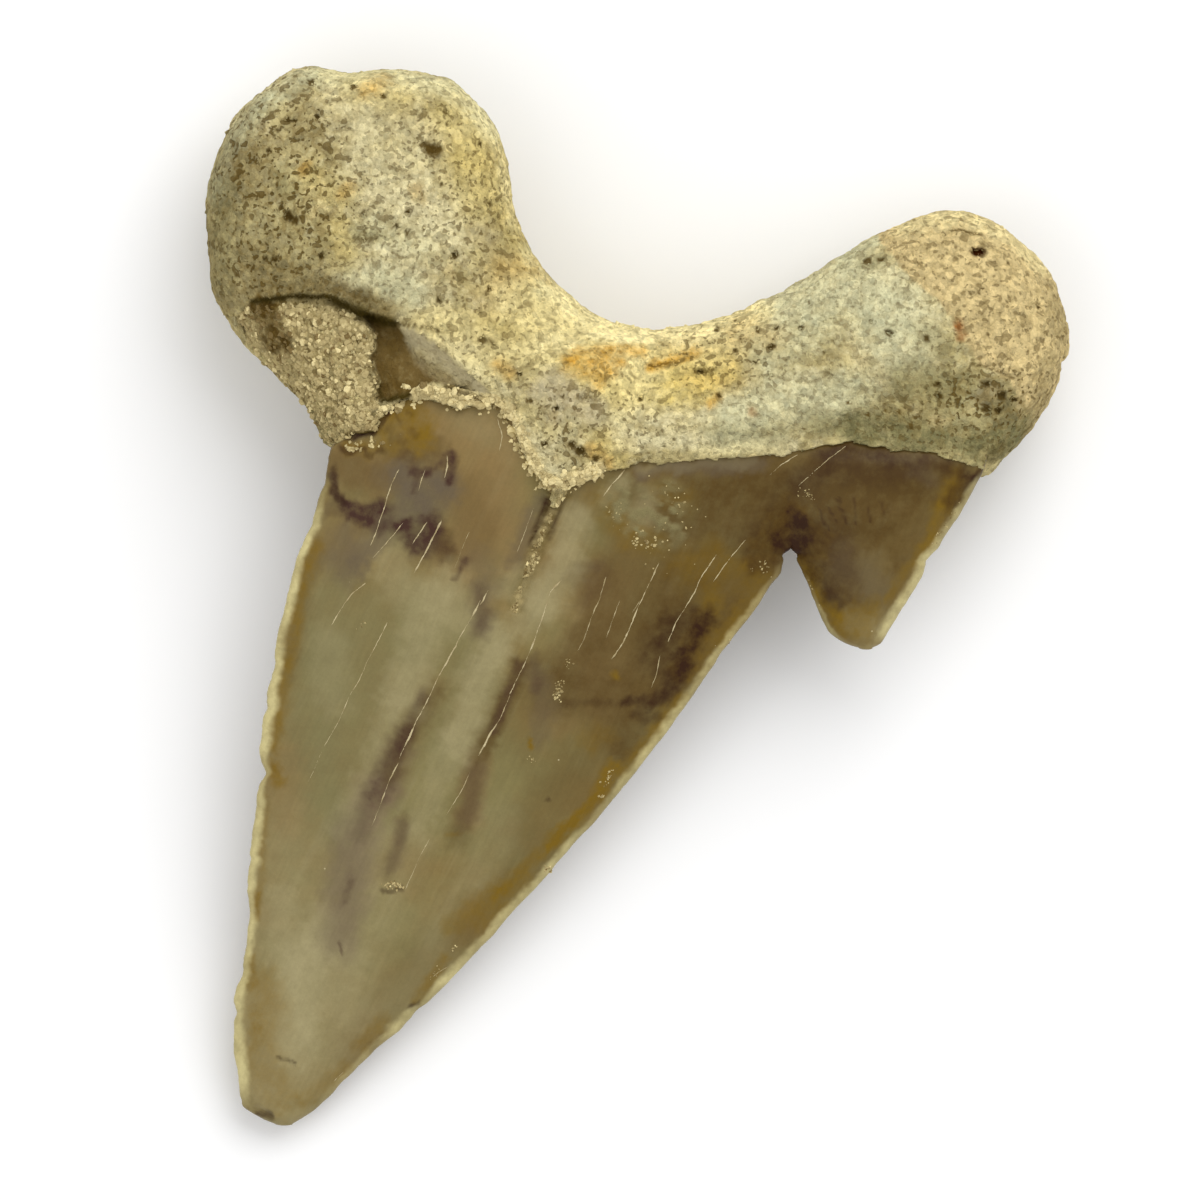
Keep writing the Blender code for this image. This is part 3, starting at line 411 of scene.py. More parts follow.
ROOT_STAINS = {
    "yellow": lines(2,
        (34, 0.5, 515, 305, 550, 335, 600, 380), (26, 0.75, 600, 350, 690, 372, 718, 368),
        (20, 0.75, 605, 388, 650, 394, 700, 388), (30, 0.4, 470, 170, 500, 220, 520, 270),
        (26, 0.35, 450, 120, 480, 160), (16, 0.4, 600, 440, 620, 455), (26, 0.35, 430, 330, 500, 350),
        (30, 0.2, 380, 400, 340, 420), (14, 0.35, 340, 225, 345, 265), (18, 0.3, 310, 180, 340, 195),
        (20, 0.35, 360, 90, 400, 100),
    ),
    "mist": lines(2,
        (38, 0.6, 760, 345, 800, 315, 850, 290, 895, 310), (28, 0.6, 730, 422, 780, 405, 850, 395),
        (26, 0.5, 880, 330, 905, 360), (17, 0.55, 350, 284, 385, 278, 412, 297), (18, 0.35, 372, 232, 420, 245),
        # The last stroke of the line below and the stroke on the line after it are painted light along the lobes' top
        # edges, which turn away from the lamp.
        (13, 0.95, 530, 258, 543, 288), (12, 0.65, 216, 195, 232, 150, 262, 106, 310, 78, 400, 80, 460, 92, 496, 135),
        (11, 0.6, 840, 260, 880, 238, 940, 217, 1000, 226, 1044, 262, 1060, 310),
    ),
    # Painted light: the warm cream of lit bone on the inner rim that faces the lamp, along the lobes' top edges and on
    # the root's edge over the seam.
    "painted_light": lines(2,
        (13, 0.95, 562, 300, 600, 330, 650, 334, 700, 330, 760, 312), (12, 0.5, 545, 345, 580, 345),
        (8, 0.25, 532, 262, 545, 286, 562, 300), (30, 0.5, 520, 300, 560, 330, 540, 350),
        (11, 0.5, 518, 228, 512, 200, 506, 165), (22, 0.35, 600, 372, 650, 352, 720, 345),
        (12, 0.45, 330, 78, 400, 84, 465, 100, 498, 140), (12, 0.5, 900, 226, 960, 214, 1010, 232, 1045, 265),
        (26, 0.4, 450, 330, 480, 370), (24, 0.4, 600, 330, 640, 380, 620, 410),
        (8, 0.4, 700, 452, 740, 447, 780, 449),
    ),
    "green": lines(2,
        (8, 0.5, 864, 264, 884, 259), (16, 0.6, 820, 426, 870, 420, 900, 430), (13, 0.4, 715, 434, 780, 438),
        (15, 0.45, 955, 432, 1000, 452), (26, 0.6, 905, 384, 950, 392, 990, 408),
        (18, 0.9, 855, 432, 905, 436, 975, 446, 1012, 440), (14, 0.7, 985, 455, 1024, 420),
        (16, 0.45, 922, 335, 950, 352), (20, 0.2, 380, 288, 402, 292), (12, 0.5, 284, 175, 292, 196),
        (9, 0.4, 358, 234, 376, 240), (14, 0.2, 500, 232, 478, 226), (16, 0.35, 226, 190, 224, 280),
        (40, 0.16, 262, 225, 300, 250), (14, 0.5, 312, 405, 330, 430), (16, 0.2, 600, 416, 570, 426),
    ),
    "pale": lines(2,
        (34, 0.55, 372, 170, 415, 195, 440, 235), (24, 0.5, 345, 100, 362, 128),
        # The next two strokes are painted light along the lobes' top edges, which turn away from the lamp.
        (9, 0.5, 238, 128, 262, 98, 305, 76, 400, 78, 462, 92, 494, 130),
        (8, 0.5, 846, 252, 885, 230, 945, 214, 1000, 222, 1040, 254, 1058, 300),
        (17, 0.7, 350, 282, 385, 276, 412, 295), (22, 0.5, 400, 262, 432, 296, 420, 320),
        (16, 0.3, 395, 340, 440, 350, 500, 345), (9, 0.95, 534, 268, 543, 288),
        (40, 0.7, 790, 290, 850, 275, 905, 320), (26, 0.5, 900, 290, 910, 350), (22, 0.6, 770, 395, 835, 398),
        # The first stroke below is a painted highlight on the root's edge over the seam.
        (10, 0.8, 620, 445, 700, 442, 786, 446), (26, 0.6, 650, 410, 735, 415), (18, 0.4, 575, 430, 556, 466),
        (18, 0.35, 600, 395, 620, 430), (12, 0.4, 460, 365, 500, 392), (16, 0.3, 370, 345, 350, 395),
        (24, 0.4, 385, 112, 420, 140), (26, 0.4, 380, 210, 430, 225), (6, 0.8, 372, 247, 390, 250),
        (20, 0.35, 865, 350, 880, 375), (6, 0.7, 440, 395, 460, 403, 500, 408), (14, 0.5, 530, 440, 545, 470),
    ),
    # Painted shade: darker bone where the lobes' sides and edges turn away from the light, and where the surface rolls
    # down to the ledge.
    "shade": lines(2,
        (42, 0.4, 222, 185, 236, 240, 262, 292), (9, 0.6, 252, 291, 300, 290, 335, 292, 370, 300),
        (14, 0.35, 268, 168, 276, 200), (16, 0.25, 335, 255, 345, 278), (24, 0.35, 300, 372, 328, 430),
        (16, 0.5, 208, 220, 214, 270, 228, 300), (14, 0.6, 250, 262, 290, 280, 335, 290),
        (26, 0.3, 270, 245, 310, 262), (12, 0.3, 1056, 290, 1062, 340), (22, 0.4, 240, 180, 268, 152, 292, 138),
        (18, 0.45, 296, 96, 312, 130), (14, 0.35, 250, 118, 222, 160), (10, 0.6, 320, 290, 352, 300, 388, 316),
        (18, 0.2, 490, 240, 520, 280), (10, 0.4, 1050, 365, 1034, 410, 1012, 440),
        (16, 0.4, 320, 395, 305, 380, 332, 430), (14, 0.2, 1000, 398, 1010, 420),
    ),
    "pitted": lines(2,
        (62, 0.85, 250, 170, 300, 210, 270, 260), (44, 0.6, 290, 110, 310, 130),
        (44, 0.45, 430, 130, 480, 200, 490, 300), (30, 0.7, 560, 425, 580, 460), (34, 0.5, 600, 400, 640, 420),
        (40, 0.5, 700, 360, 750, 360), (34, 0.9, 960, 400, 1005, 405), (24, 0.4, 900, 418, 940, 440),
        (50, 0.5, 340, 370, 320, 330), (40, 0.3, 390, 330, 520, 380), (60, 0.3, 300, 170, 420, 230),
        (60, 0.3, 930, 240, 1030, 350),
    ),
    "tan": lines(2,
        (20, 0.35, 495, 300, 504, 268),
    ),
    "orange": lines(2,
        (14, 0.75, 574, 362, 592, 370, 612, 364), (7, 0.55, 582, 352, 610, 350, 642, 353),
        (8, 0.4, 598, 384, 604, 376), (6, 0.75, 650, 368, 668, 364, 694, 354),
        (20, 0.14, 670, 352, 730, 352, 740, 372), (10, 0.18, 688, 382, 722, 386), (6, 0.6, 710, 406, 716, 400),
        (16, 0.25, 560, 268, 505, 272), (10, 0.45, 366, 92, 384, 84), (8, 0.4, 345, 196, 352, 190),
        (8, 0.3, 416, 190, 420, 200), (8, 0.4, 498, 366, 510, 374), (18, 0.25, 740, 330, 770, 340),
        (8, 0.4, 590, 450, 606, 462), (6, 0.5, 305, 174, 308, 168),
    ),
    # Partly brown dirt in pits and the smear on the large lobe, partly painted shadow under the ledge, at the top of
    # the recess and along the root's edge.
    "dirt_and_shadow": lines(2,
        (7, 0.95, 430, 150, 438, 153), (8, 0.25, 300, 166, 310, 172), (6, 0.95, 256, 304, 276, 307),
        (13, 1.0, 264, 308, 270, 322, 280, 344), (10, 0.4, 378, 332, 396, 350), (12, 0.5, 382, 372, 402, 390),
        (5, 0.6, 290, 218, 296, 222), (6, 0.5, 580, 452, 570, 444), (16, 0.3, 990, 395, 1000, 412),
        (8, 0.4, 1000, 446, 985, 458), (4, 0.8, 448, 389, 472, 396, 494, 405), (3, 0.9, 345, 436, 372, 434),
        (9, 0.6, 384, 322, 398, 336), (10, 0.6, 385, 385, 398, 395), (7, 0.3, 340, 290, 400, 312),
    ),
    # Painted shadow: the dark lines under the flaked-off ledge, at the sand's edges and along the root's edge over the
    # seam.
    "crevice_shadow": lines(2,
        (3.0, 1.0, 254, 303, 266, 301, 300, 298, 328, 298, 342, 303),
        (6.5, 1.0, 338, 303, 356, 311, 376, 320, 394, 324), (4, 0.5, 300, 302, 340, 307),
        (4, 1.0, 384, 402, 396, 400, 408, 396), (3, 0.6, 372, 418, 384, 406), (2.5, 0.7, 376, 384, 384, 398),
        (2.5, 0.9, 346, 437, 372, 434, 384, 421),
    ),
    "lilac": lines(2,
        (17, 0.75, 556, 384, 574, 398, 592, 412), (14, 0.5, 545, 396, 552, 414), (12, 0.3, 980, 400, 990, 392),
        (14, 0.35, 478, 232, 490, 240), (8, 0.2, 440, 345, 470, 350),
    ),
    "rust": lines(2,
        (6, 1.0, 957, 326, 958, 329), (5, 1.0, 962, 336, 959, 338), (5, 0.6, 750, 412, 752, 414),
    ),
}
# The outline of the small lobe's bare tip, on the map; its outer side runs past the tooth.
TAN_EDGE = [(870, 200), (878, 243), (908, 278), (936, 303), (952, 322), (960, 340), (975, 362), (1008, 382),
            (1016, 412), (1018, 445), (1100, 445), (1100, 180)]


def on_map(places):
    """The map's x and y for places in millimetres."""
    return np.stack([places[..., 0] * MAP_UNITS + MAP_MIDDLE[0], MAP_MIDDLE[1] - places[..., 1] * MAP_UNITS], -1)


def off_map(points):
    points = np.asarray(points, float)
    return np.stack([(points[..., 0] - MAP_MIDDLE[0]), (MAP_MIDDLE[1] - points[..., 1])], -1) / MAP_UNITS


def ease(low, high, values):
    t = np.clip((values - low) / (high - low), 0.0, 1.0)
    return t * t * (3 - 2 * t)


def noise(places, size, seed=0):
    """Smooth noise from -1 to 1, which changes over the given size in millimetres."""
    if places.shape[-1] == 2:
        places = np.concatenate([places, np.zeros_like(places[..., :1])], -1)
    at = places / size + 31.7 * (seed + 1)
    cell = np.floor(at).astype(np.int64)
    part = at - cell
    part = part**3 * (part * (part * 6 - 15) + 10)
    total = np.zeros(places.shape[:-1])
    for corner in range(8):
        step = np.array([corner & 1, corner >> 1 & 1, corner >> 2 & 1])
        x, y, z = np.moveaxis(cell + step, -1, 0)
        mixed = (x * 73856093) ^ (y * 19349663) ^ (z * 83492791) ^ (seed * 26544357)
        mixed = ((mixed ^ (mixed >> 13)) * 1274126177) & 0x7FFFFFFF
        mixed = ((mixed ^ (mixed >> 15)) * 5324321) & 0xFFFFFF
        weight = np.prod(np.where(step, part, 1 - part), -1)
        total += weight * (mixed / 0x7FFFFF - 1)
    return total


def rough_noise(places, size, seed=0, layers=3):
    return sum(noise(places, size / 2**i, seed + i) / 2**i for i in range(layers)) / 1.6


def line_distance(at, points):
    """How far each place on the map is from a line through points."""
    points = np.asarray(points, float)
    best = np.full(at.shape[:-1], 1e9)
    for start, end in zip(points, points[1:]):
        along = end - start
        share = np.clip(((at - start) @ along) / max(along @ along, 1e-9), 0, 1)
        best = np.minimum(best, np.linalg.norm(at - start - share[..., None] * along, axis=-1))
    return best


def inside(at, outline):
    """How far each place on the map is inside a closed outline; less than zero is outside."""
    points = np.asarray(list(outline) + [outline[0]], float)
    within = np.zeros(at.shape[:-1], bool)
    x, y = at[..., 0], at[..., 1]
    for (x0, y0), (x1, y1) in zip(points, points[1:]):
        crosses = (y0 > y) != (y1 > y)
        within ^= crosses & (x < (x1 - x0) * (y - y0) / (y1 - y0 if y1 != y0 else 1e-9) + x0)
    return np.where(within, 1, -1) * line_distance(at, points)


def above_seam(at):
    """How far each place on the map is on the root's side of the seam, in map units."""
    points = np.asarray(SEAM, float)
    below = at[..., 1] > np.interp(at[..., 0], points[:, 0], points[:, 1])
    return np.where(below, -1, 1) * line_distance(at, points)


def painted(at, strokes, places, seed, ragged=0.35):
    """The cover of soft-edged strokes at each place, from 0 to 1, with edges that noise makes uneven."""
    bend = np.stack([rough_noise(places, 1.1, seed), rough_noise(places, 1.1, seed + 40)], -1)
    fray = np.stack([rough_noise(places, 0.3, seed + 80), rough_noise(places, 0.3, seed + 120)], -1)
    bare = np.ones(at.shape[:-1])
    for points, half_width, strength in strokes:
        moved = at + bend * min(half_width, 26) * ragged + fray * min(half_width, 12) * 0.45
        far = line_distance(moved, points)
        bare *= 1 - strength * (1 - ease(0.2 * half_width, 1.5 * half_width, far))
    return 1 - bare


def growth_streaks(places):
    """A shift along the way the crown grew, in map units, that changes quickly across it."""
    across = places[..., 0] * GROWTH_ACROSS[0] + places[..., 1] * GROWTH_ACROSS[1]
    along = places[..., 0] * GROWTH_ALONG[0] + places[..., 1] * GROWTH_ALONG[1]
    shift = rough_noise(np.stack([across, along * 3], -1), 0.45, 161)
    return shift[..., None] * np.array(GROWTH_ACROSS)[::-1]


def smooth_rows(rows, places):
    """Rows of numbers on a smooth curve (Catmull-Rom) through the given ones, at fractional row numbers."""
    last = len(rows) - 1
    here = np.clip(np.floor(places).astype(int), 0, last - 1)
    t = (places - here)[:, None]
    a, b = rows[np.maximum(here - 1, 0)], rows[here]
    c, d = rows[here + 1], rows[np.minimum(here + 2, last)]
    return b + 0.5 * ((c - a) * t + (2 * a - 5 * b + 4 * c - d) * t**2 + (3 * b - a - 3 * c + d) * t**3)


def blade_table(stations, steps=24):
    table = smooth_rows(stations, np.linspace(0, len(stations) - 1, (len(stations) - 1) * steps + 1))
    return table[np.argsort(table[:, 0])]


BLADES = {"crown": blade_table(CROWN_STATIONS), "cusplet": blade_table(CUSPLET_STATIONS)}


def blade_top(blade, x, y):
    """A blade's lip side at any x and y, and how far across the blade that is, from -1 to 1 at its edges."""
    table = BLADES[blade]
    left, right, edge, rise = (np.interp(y, table[:, 0], table[:, i]) for i in (1, 2, 3, 4))
    across = (x - (left + right) / 2) / ((right - left) / 2)
    bound = np.clip(np.abs(across), 0, 1.3)
    return edge + EDGE_THICKNESS / 2 + rise * (1 - bound**LIP_FACE_FLATNESS), across


def enamel_top(x, y, softness=0.16):
    """The lip side of the crown and the cusplet, melted into each other."""
    crown, crown_across = blade_top("crown", x, y)
    cusplet, cusplet_across = blade_top("cusplet", x, y)
    cusplet = np.where(y < -2.6, -9.0, cusplet)
    step = np.clip((cusplet - crown) / softness, -30, 30)
    top = crown + softness * np.log1p(np.exp(step))
    covered = (np.abs(crown_across) < 1) | ((np.abs(cusplet_across) < 1) & (y > -2.5))
    return top, covered, crown, cusplet


def mesh_object(name, points, faces):
    """A mesh object from points in metres."""
    mesh = bpy.data.meshes.new(name)
    mesh.from_pydata(points, [], faces)
    mesh.update()
    obj = bpy.data.objects.new(name, mesh)
    bpy.context.scene.collection.objects.link(obj)
    return obj


def grid_object(name, grid):
    """A mesh object from rings of points in millimetres; every ring is closed, and the first and last are capped."""
    rings, points = grid.shape[:2]
    index = np.arange(rings * points).reshape(rings, points)
    after = np.roll(index, -1, axis=1)
    quads = np.stack([index[:-1], after[:-1], after[1:], index[1:]], -1).reshape(-1, 4)
    faces = quads.tolist() + [index[0][::-1].tolist(), index[-1].tolist()]
    obj = mesh_object(name, (grid.reshape(-1, 3) * MM).tolist(), faces)
    around, along = grid[:-1, 1:] - grid[:-1, :-1], grid[1:, :-1] - grid[:-1, :-1]
    out = grid[:-1, :-1] - grid[:-1].mean(1, keepdims=True)
    if np.sum(np.cross(around, along) * out) < 0:
        obj.data.flip_normals()
    obj.data.shade_smooth()
    return obj


def grid_normals(grid):
    """Outward directions at the points of a grid of closed rings."""
    along = np.gradient(grid, axis=0)
    around = (np.roll(grid, -1, axis=1) - np.roll(grid, 1, axis=1)) / 2
    normal = np.cross(along, around)
    normal /= np.maximum(np.linalg.norm(normal, axis=-1, keepdims=True), 1e-9)
    outward = np.sign(np.sum(normal * (grid - grid.mean(1, keepdims=True)), -1).mean())
    return normal * outward


def add_mask(obj, name, values):
    obj.data.attributes.new(name, "FLOAT", "POINT").data.foreach_set("value", np.ravel(values).astype(np.float32))


def finish_piece(obj, material):
    obj.data.materials.append(material)
    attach(obj, "root")
    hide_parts("tooth")


def even_rows(stations, count):
    """Station numbers that are evenly spaced along the root's longer side."""
    fine = np.linspace(0, len(stations) - 1, 1200)
    table = smooth_rows(stations, fine)
    sides = [np.linalg.norm(np.diff(side, axis=0), axis=1) for side in (table[:, 0:3], table[:, 3:6])]
    length = np.concatenate([[0], np.cumsum(np.maximum(*sides))])
    return np.interp(np.linspace(0, length[-1], count), length, fine)


def root_grid(rings, lip_points, tongue_points):
    """The root's plain rings of points: the lip side first, from the inner rim to the crown's side."""
    stations = ROOT_STATIONS.copy()
    outwards = stations[:, 0:3] - stations[:, 3:6]
    outwards /= np.linalg.norm(outwards, axis=1, keepdims=True)
    under_enamel = np.interp(np.arange(len(stations)), [10, 12, 23, 25], [0, 0.6, 0.6, 0])
    stations[:, 0:3] += outwards * under_enamel[:, None]
    stations[:, 2] -= under_enamel * 0.5
    rows = smooth_rows(stations, even_rows(stations, rings))
    angle = np.concatenate([
        np.linspace(0, math.pi, lip_points, endpoint=False),
        np.linspace(math.pi, 2 * math.pi, tongue_points, endpoint=False),
    ])
    power = 2 / ROOT_ROUNDNESS
    across = np.sign(np.cos(angle)) * np.abs(np.cos(angle)) ** power
    up = np.sign(np.sin(angle)) * np.abs(np.sin(angle)) ** power
    outer, inner = rows[:, None, 0:3], rows[:, None, 3:6]
    middle, half = (outer + inner) / 2, (inner - outer) / 2
    out = -half / np.linalg.norm(half, axis=-1, keepdims=True)
    grid = middle + half * across[None, :, None]
    lift = np.where(up[None] > 0, rows[:, 6:7], rows[:, 7:8]) * up[None]
    grid = grid + lift[..., None] * np.array([0.0, 0.0, 1.0])
    grid = grid + out * (rows[:, 8:9] * np.maximum(-up[None], 0))[..., None]
    return np.concatenate([dome(grid[0], grid[1])[::-1], grid, dome(grid[-1], grid[-2])])


def dome(ring, before, steps=8, height=0.35):
    """Rings that close the end of a grid as a low dome."""
    centre = ring.mean(0)
    out = centre - before.mean(0)
    out /= np.linalg.norm(out)
    turns = np.linspace(0, math.pi / 2, steps + 1)[1:]
    return np.array([centre + (ring - centre) * max(math.cos(t), 0.03) + out * height * math.sin(t) for t in turns])


def press_pits(height, at, pits):
    """Presses round pits into the heights, and returns how deep inside a pit each place is, from 0 to 1."""
    depth = np.zeros(height.shape)
    flat_at, flat_depth = at.reshape(-1, 2), depth.reshape(-1)
    order = np.argsort(flat_at[:, 0])
    sorted_x = flat_at[order, 0]
    for x, y, radius, deep in pits:
        low, high = np.searchsorted(sorted_x, [x - 1.6 * radius, x + 1.6 * radius])
        near = order[low:high]
        far = np.hypot(flat_at[near, 0] - x, (flat_at[near, 1] - y) * 1.15) / radius
        flat_depth[near] = np.maximum(flat_depth[near], deep * (1 - ease(0.45, 1.35, far)))
    return flat_depth.reshape(height.shape) / MAP_UNITS


def root_stains(at, places):
    """The name and the cover of each of the root's stains and tints, and of its painted light and shade."""
    bend = np.stack([rough_noise(places, 0.5, 151), rough_noise(places, 0.5, 152)], -1) * 4.0
    for number, (name, strokes) in enumerate(ROOT_STAINS.items()):
        cover = painted(at, strokes, places, 50 + 3 * number)
        if name == "tan":
            cover = np.maximum(cover, ease(-2.0, 3.0, inside(at + bend, TAN_EDGE)))
        yield name, cover
    yield "cream", 1 - ease(5, 12, line_distance(at + bend, FRINGE_LINE))


def build_root(sizes):
    """The root: porous bone with flaked steps, pits, cracks and a crumbling edge over the enamel."""
    grid = root_grid(ROOT_RINGS, ROOT_LIP_POINTS, ROOT_TONGUE_POINTS)
    normal = grid_normals(grid)
    lip = ease(0.1, 0.45, normal[..., 2])
    swell = 0.10 * noise(grid, 4.2, 3) + 0.07 * noise(grid, 1.9, 4) + 0.05 * noise(grid, 0.9, 5)
    grit = 0.045 * noise(grid, 0.42, 6) + 0.040 * noise(grid, 0.24, 7)
    calm = ease(0.0, 3.0, 1.2 + grid[..., 2])
    grid = grid + normal * ((swell + grit * sizes.grit) * calm)[..., None]

    at = on_map(grid)
    wobble = rough_noise(grid[..., :2], 0.55, 9, 3)
    ragged = at + np.stack([wobble, rough_noise(grid[..., :2], 0.55, 13, 3)], -1) * 4.0
    z = grid[..., 2]
    top, covered, _, _ = enamel_top(grid[..., 0], np.minimum(grid[..., 1], 9.9))

    upper = np.zeros(z.shape, bool)
    upper[:, :ROOT_LIP_POINTS] = True
    sandy = ease(-1.2, 1.6, inside(ragged, SAND_HOLLOW)) * lip
    smooth = ease(-1.2, 1.6, inside(ragged, SMOOTH_HOLLOW)) * lip
    sliver = ease(-1.0, 1.5, inside(at, SLIVER)) * lip
    steep = ease(255, 370, at[..., 0])
    z = z - sandy * (0.34 + 0.36 * steep) - sandy * 0.10 * rough_noise(grid, 0.5, 21)
    floor = np.where(at[..., 0] < 470, top + 0.10, z)
    z = z * (1 - smooth) + smooth * np.minimum(floor, z)
    down_slope = np.clip(line_distance(at, SLIVER_TOP) / 20, 0, 1)
    z = z - sliver * (0.12 + 0.75 * down_slope)
    z = np.where((sliver > 0) & (at[..., 0] < 470), np.maximum(z, top + 0.12), z)

    pits = list(PITS)
    rng = np.random.default_rng(7)
    for x, y, reach in PIT_CROWDS:
        for _ in range(PITS_IN_A_CROWD):
            px, py = rng.normal(x, reach * 0.55), rng.normal(y, reach * 0.55)
            radius = rng.uniform(1.2, 2.2)
            pits.append((px, py, radius, radius * rng.uniform(0.8, 1.3)))
    uneven = at + np.stack([noise(grid, 0.25, 17), noise(grid, 0.25, 18)], -1) * 1.4
    pore = press_pits(z, uneven, pits) * lip * (1 - smooth) * (1 - sliver)
    hole = 1 - ease(2.4, 5.4, line_distance(at, VEIN_HOLE))
    crack = np.zeros(z.shape)
    for points, half_width, deep in ROOT_CRACKS:
        far = line_distance(at + wobble[..., None] * 1.8, points)
        crack = np.maximum(crack, deep / MAP_UNITS * (1 - ease(half_width * 0.4, half_width * 1.8, far)))
    crack = crack * lip
    z = z - pore * sizes.pore_depth - crack - 0.7 * hole * lip

    # The root's edge stands on the enamel as a low crumbling step, and nothing of it shows below the seam.
    side = above_seam(ragged)
    step = np.interp(at[..., 0], *SEAM_STEPS) * (1 + 0.5 * noise(grid, 0.35, 19)) * sizes.seam_step
    ceiling = top + step + 0.5 * np.clip(side / MAP_UNITS, 0, 9) ** 0.8
    between = (at[..., 0] > 345) & (at[..., 0] < 975)
    near_seam = (side > 0) & (side < 60) & covered & upper & ((lip > 0) | between) & (grid[..., 1] < 11)
    z = np.where(near_seam, np.minimum(z, ceiling + 0.06 * wobble), z)
    z = np.where(near_seam, np.maximum(z, top + 0.04), z)
    z = np.where(near_seam & between & (side < 14), np.maximum(z, top + 0.8 * step), z)
    z = np.where((side <= 0) & (side > -60) & covered, np.minimum(z, top - 0.45), z)
    grid[..., 2] = np.maximum(z, 0.0)

    obj = grid_object("root", grid)
    for name, cover in root_stains(at, grid):
        add_mask(obj, name, cover * (0.25 + 0.75 * ease(-0.3, 0.2, normal[..., 2])))
    foot = ease(0.45, 1.0, down_slope + 0.2 * wobble)
    add_mask(obj, "hollow", np.maximum(smooth, sliver * foot * 0.65))
    add_mask(obj, "sliver", sliver * (1 - 0.75 * foot))
    add_mask(obj, "sandy", sandy * (1 - smooth))
    add_mask(obj, "pore", np.clip(ease(0.03, 0.13, pore) + crack * 6, 0, 1))
    add_mask(obj, "vein", hole * lip)
    return obj


def blade_grid(blade, nicks, row_height, lip_points, tongue_points):
    """Rings of points around a blade, from its base to its tip, with nicked and rounded cutting edges."""
    table = BLADES[blade]
    low, high = table[0, 0], table[-1, 0]
    count = int((high - low) / row_height)
    y = np.linspace(high, low, count)
    left, right, edge, rise, drop = (np.interp(y, table[:, 0], table[:, i]) for i in range(1, 6))
    map_y = MAP_MIDDLE[1] - y * MAP_UNITS
    line = np.stack([np.zeros_like(y), y], -1)
    left = left + 0.025 * noise(line, 0.5, 61) + 0.02 * noise(line, 0.2, 62)
    right = right + 0.025 * noise(line, 0.5, 63) + 0.02 * noise(line, 0.2, 64)
    for side, place, depth, half in nicks:
        bite = depth / MAP_UNITS * np.exp(-(((map_y - place) / half) ** 2) * 1.2)
        if side == "left":
            left = left + bite
        else:
            right = right - bite
    lip_across = -np.cos(np.linspace(0, math.pi, lip_points))
    lip_across = 0.55 * lip_across + 0.45 * np.linspace(-1, 1, lip_points)
    tongue_across = np.cos(np.linspace(0, math.pi, tongue_points + 2))[1:-1]
    middle, half = ((left + right) / 2)[:, None], ((right - left) / 2)[:, None]
    blunt = EDGE_THICKNESS / 2
    x_lip = middle + half * lip_across
    x_tongue = middle + half * tongue_across
    flank = np.clip((1 - np.abs(lip_across)) * half / blunt, 0, 1)
    round_off = blunt * (1 - np.sqrt(np.clip(1 - (1 - flank) ** 2, 0, 1)))
    z_lip = edge[:, None] + blunt + rise[:, None] * (1 - np.abs(lip_across) ** LIP_FACE_FLATNESS) - round_off
    z_tongue = edge[:, None] - blunt - drop[:, None] * (1 - np.abs(tongue_across) ** TONGUE_FACE_FLATNESS)
    grid = np.empty((count, lip_points + tongue_points, 3))
    grid[:, :lip_points, 0], grid[:, lip_points:, 0] = x_lip, x_tongue
    grid[:, :lip_points, 2], grid[:, lip_points:, 2] = z_lip, z_tongue
    grid[..., 1] = y[:, None]
    slant_left = np.gradient(np.interp(y, table[:, 0], table[:, 1]), y)
    slant_right = np.gradient(np.interp(y, table[:, 0], table[:, 2]), y)
    from_left = (grid[..., 0] - left[:, None]) / np.sqrt(1 + np.clip(slant_left, -2, 2)[:, None] ** 2)
    from_right = (right[:, None] - grid[..., 0]) / np.sqrt(1 + np.clip(slant_right, -2, 2)[:, None] ** 2)
    return grid, from_left, from_right


def rim_cover(blade, grid, from_left, from_right):
    """How pale the thin translucent cutting edges are, which differs along them."""
    map_y = on_map(grid)[..., 1]
    cover = np.zeros(map_y.shape)
    for side, far in (("left", from_left), ("right", from_right)):
        rows = np.asarray(RIMS[blade, side], float)
        width = np.interp(map_y, rows[:, 0], rows[:, 2]) / MAP_UNITS
        ragged = far + 0.07 * noise(grid, 0.5, 131) + 0.05 * noise(grid, 0.2, 132)
        shade = np.interp(map_y, rows[:, 0], rows[:, 1]) * (1 + 0.25 * noise(grid, 1.2, 133))
        cover = np.maximum(cover, shade * (1 - ease(0.45, 1.25, ragged / width)))
    return np.clip(cover, 0, 1)


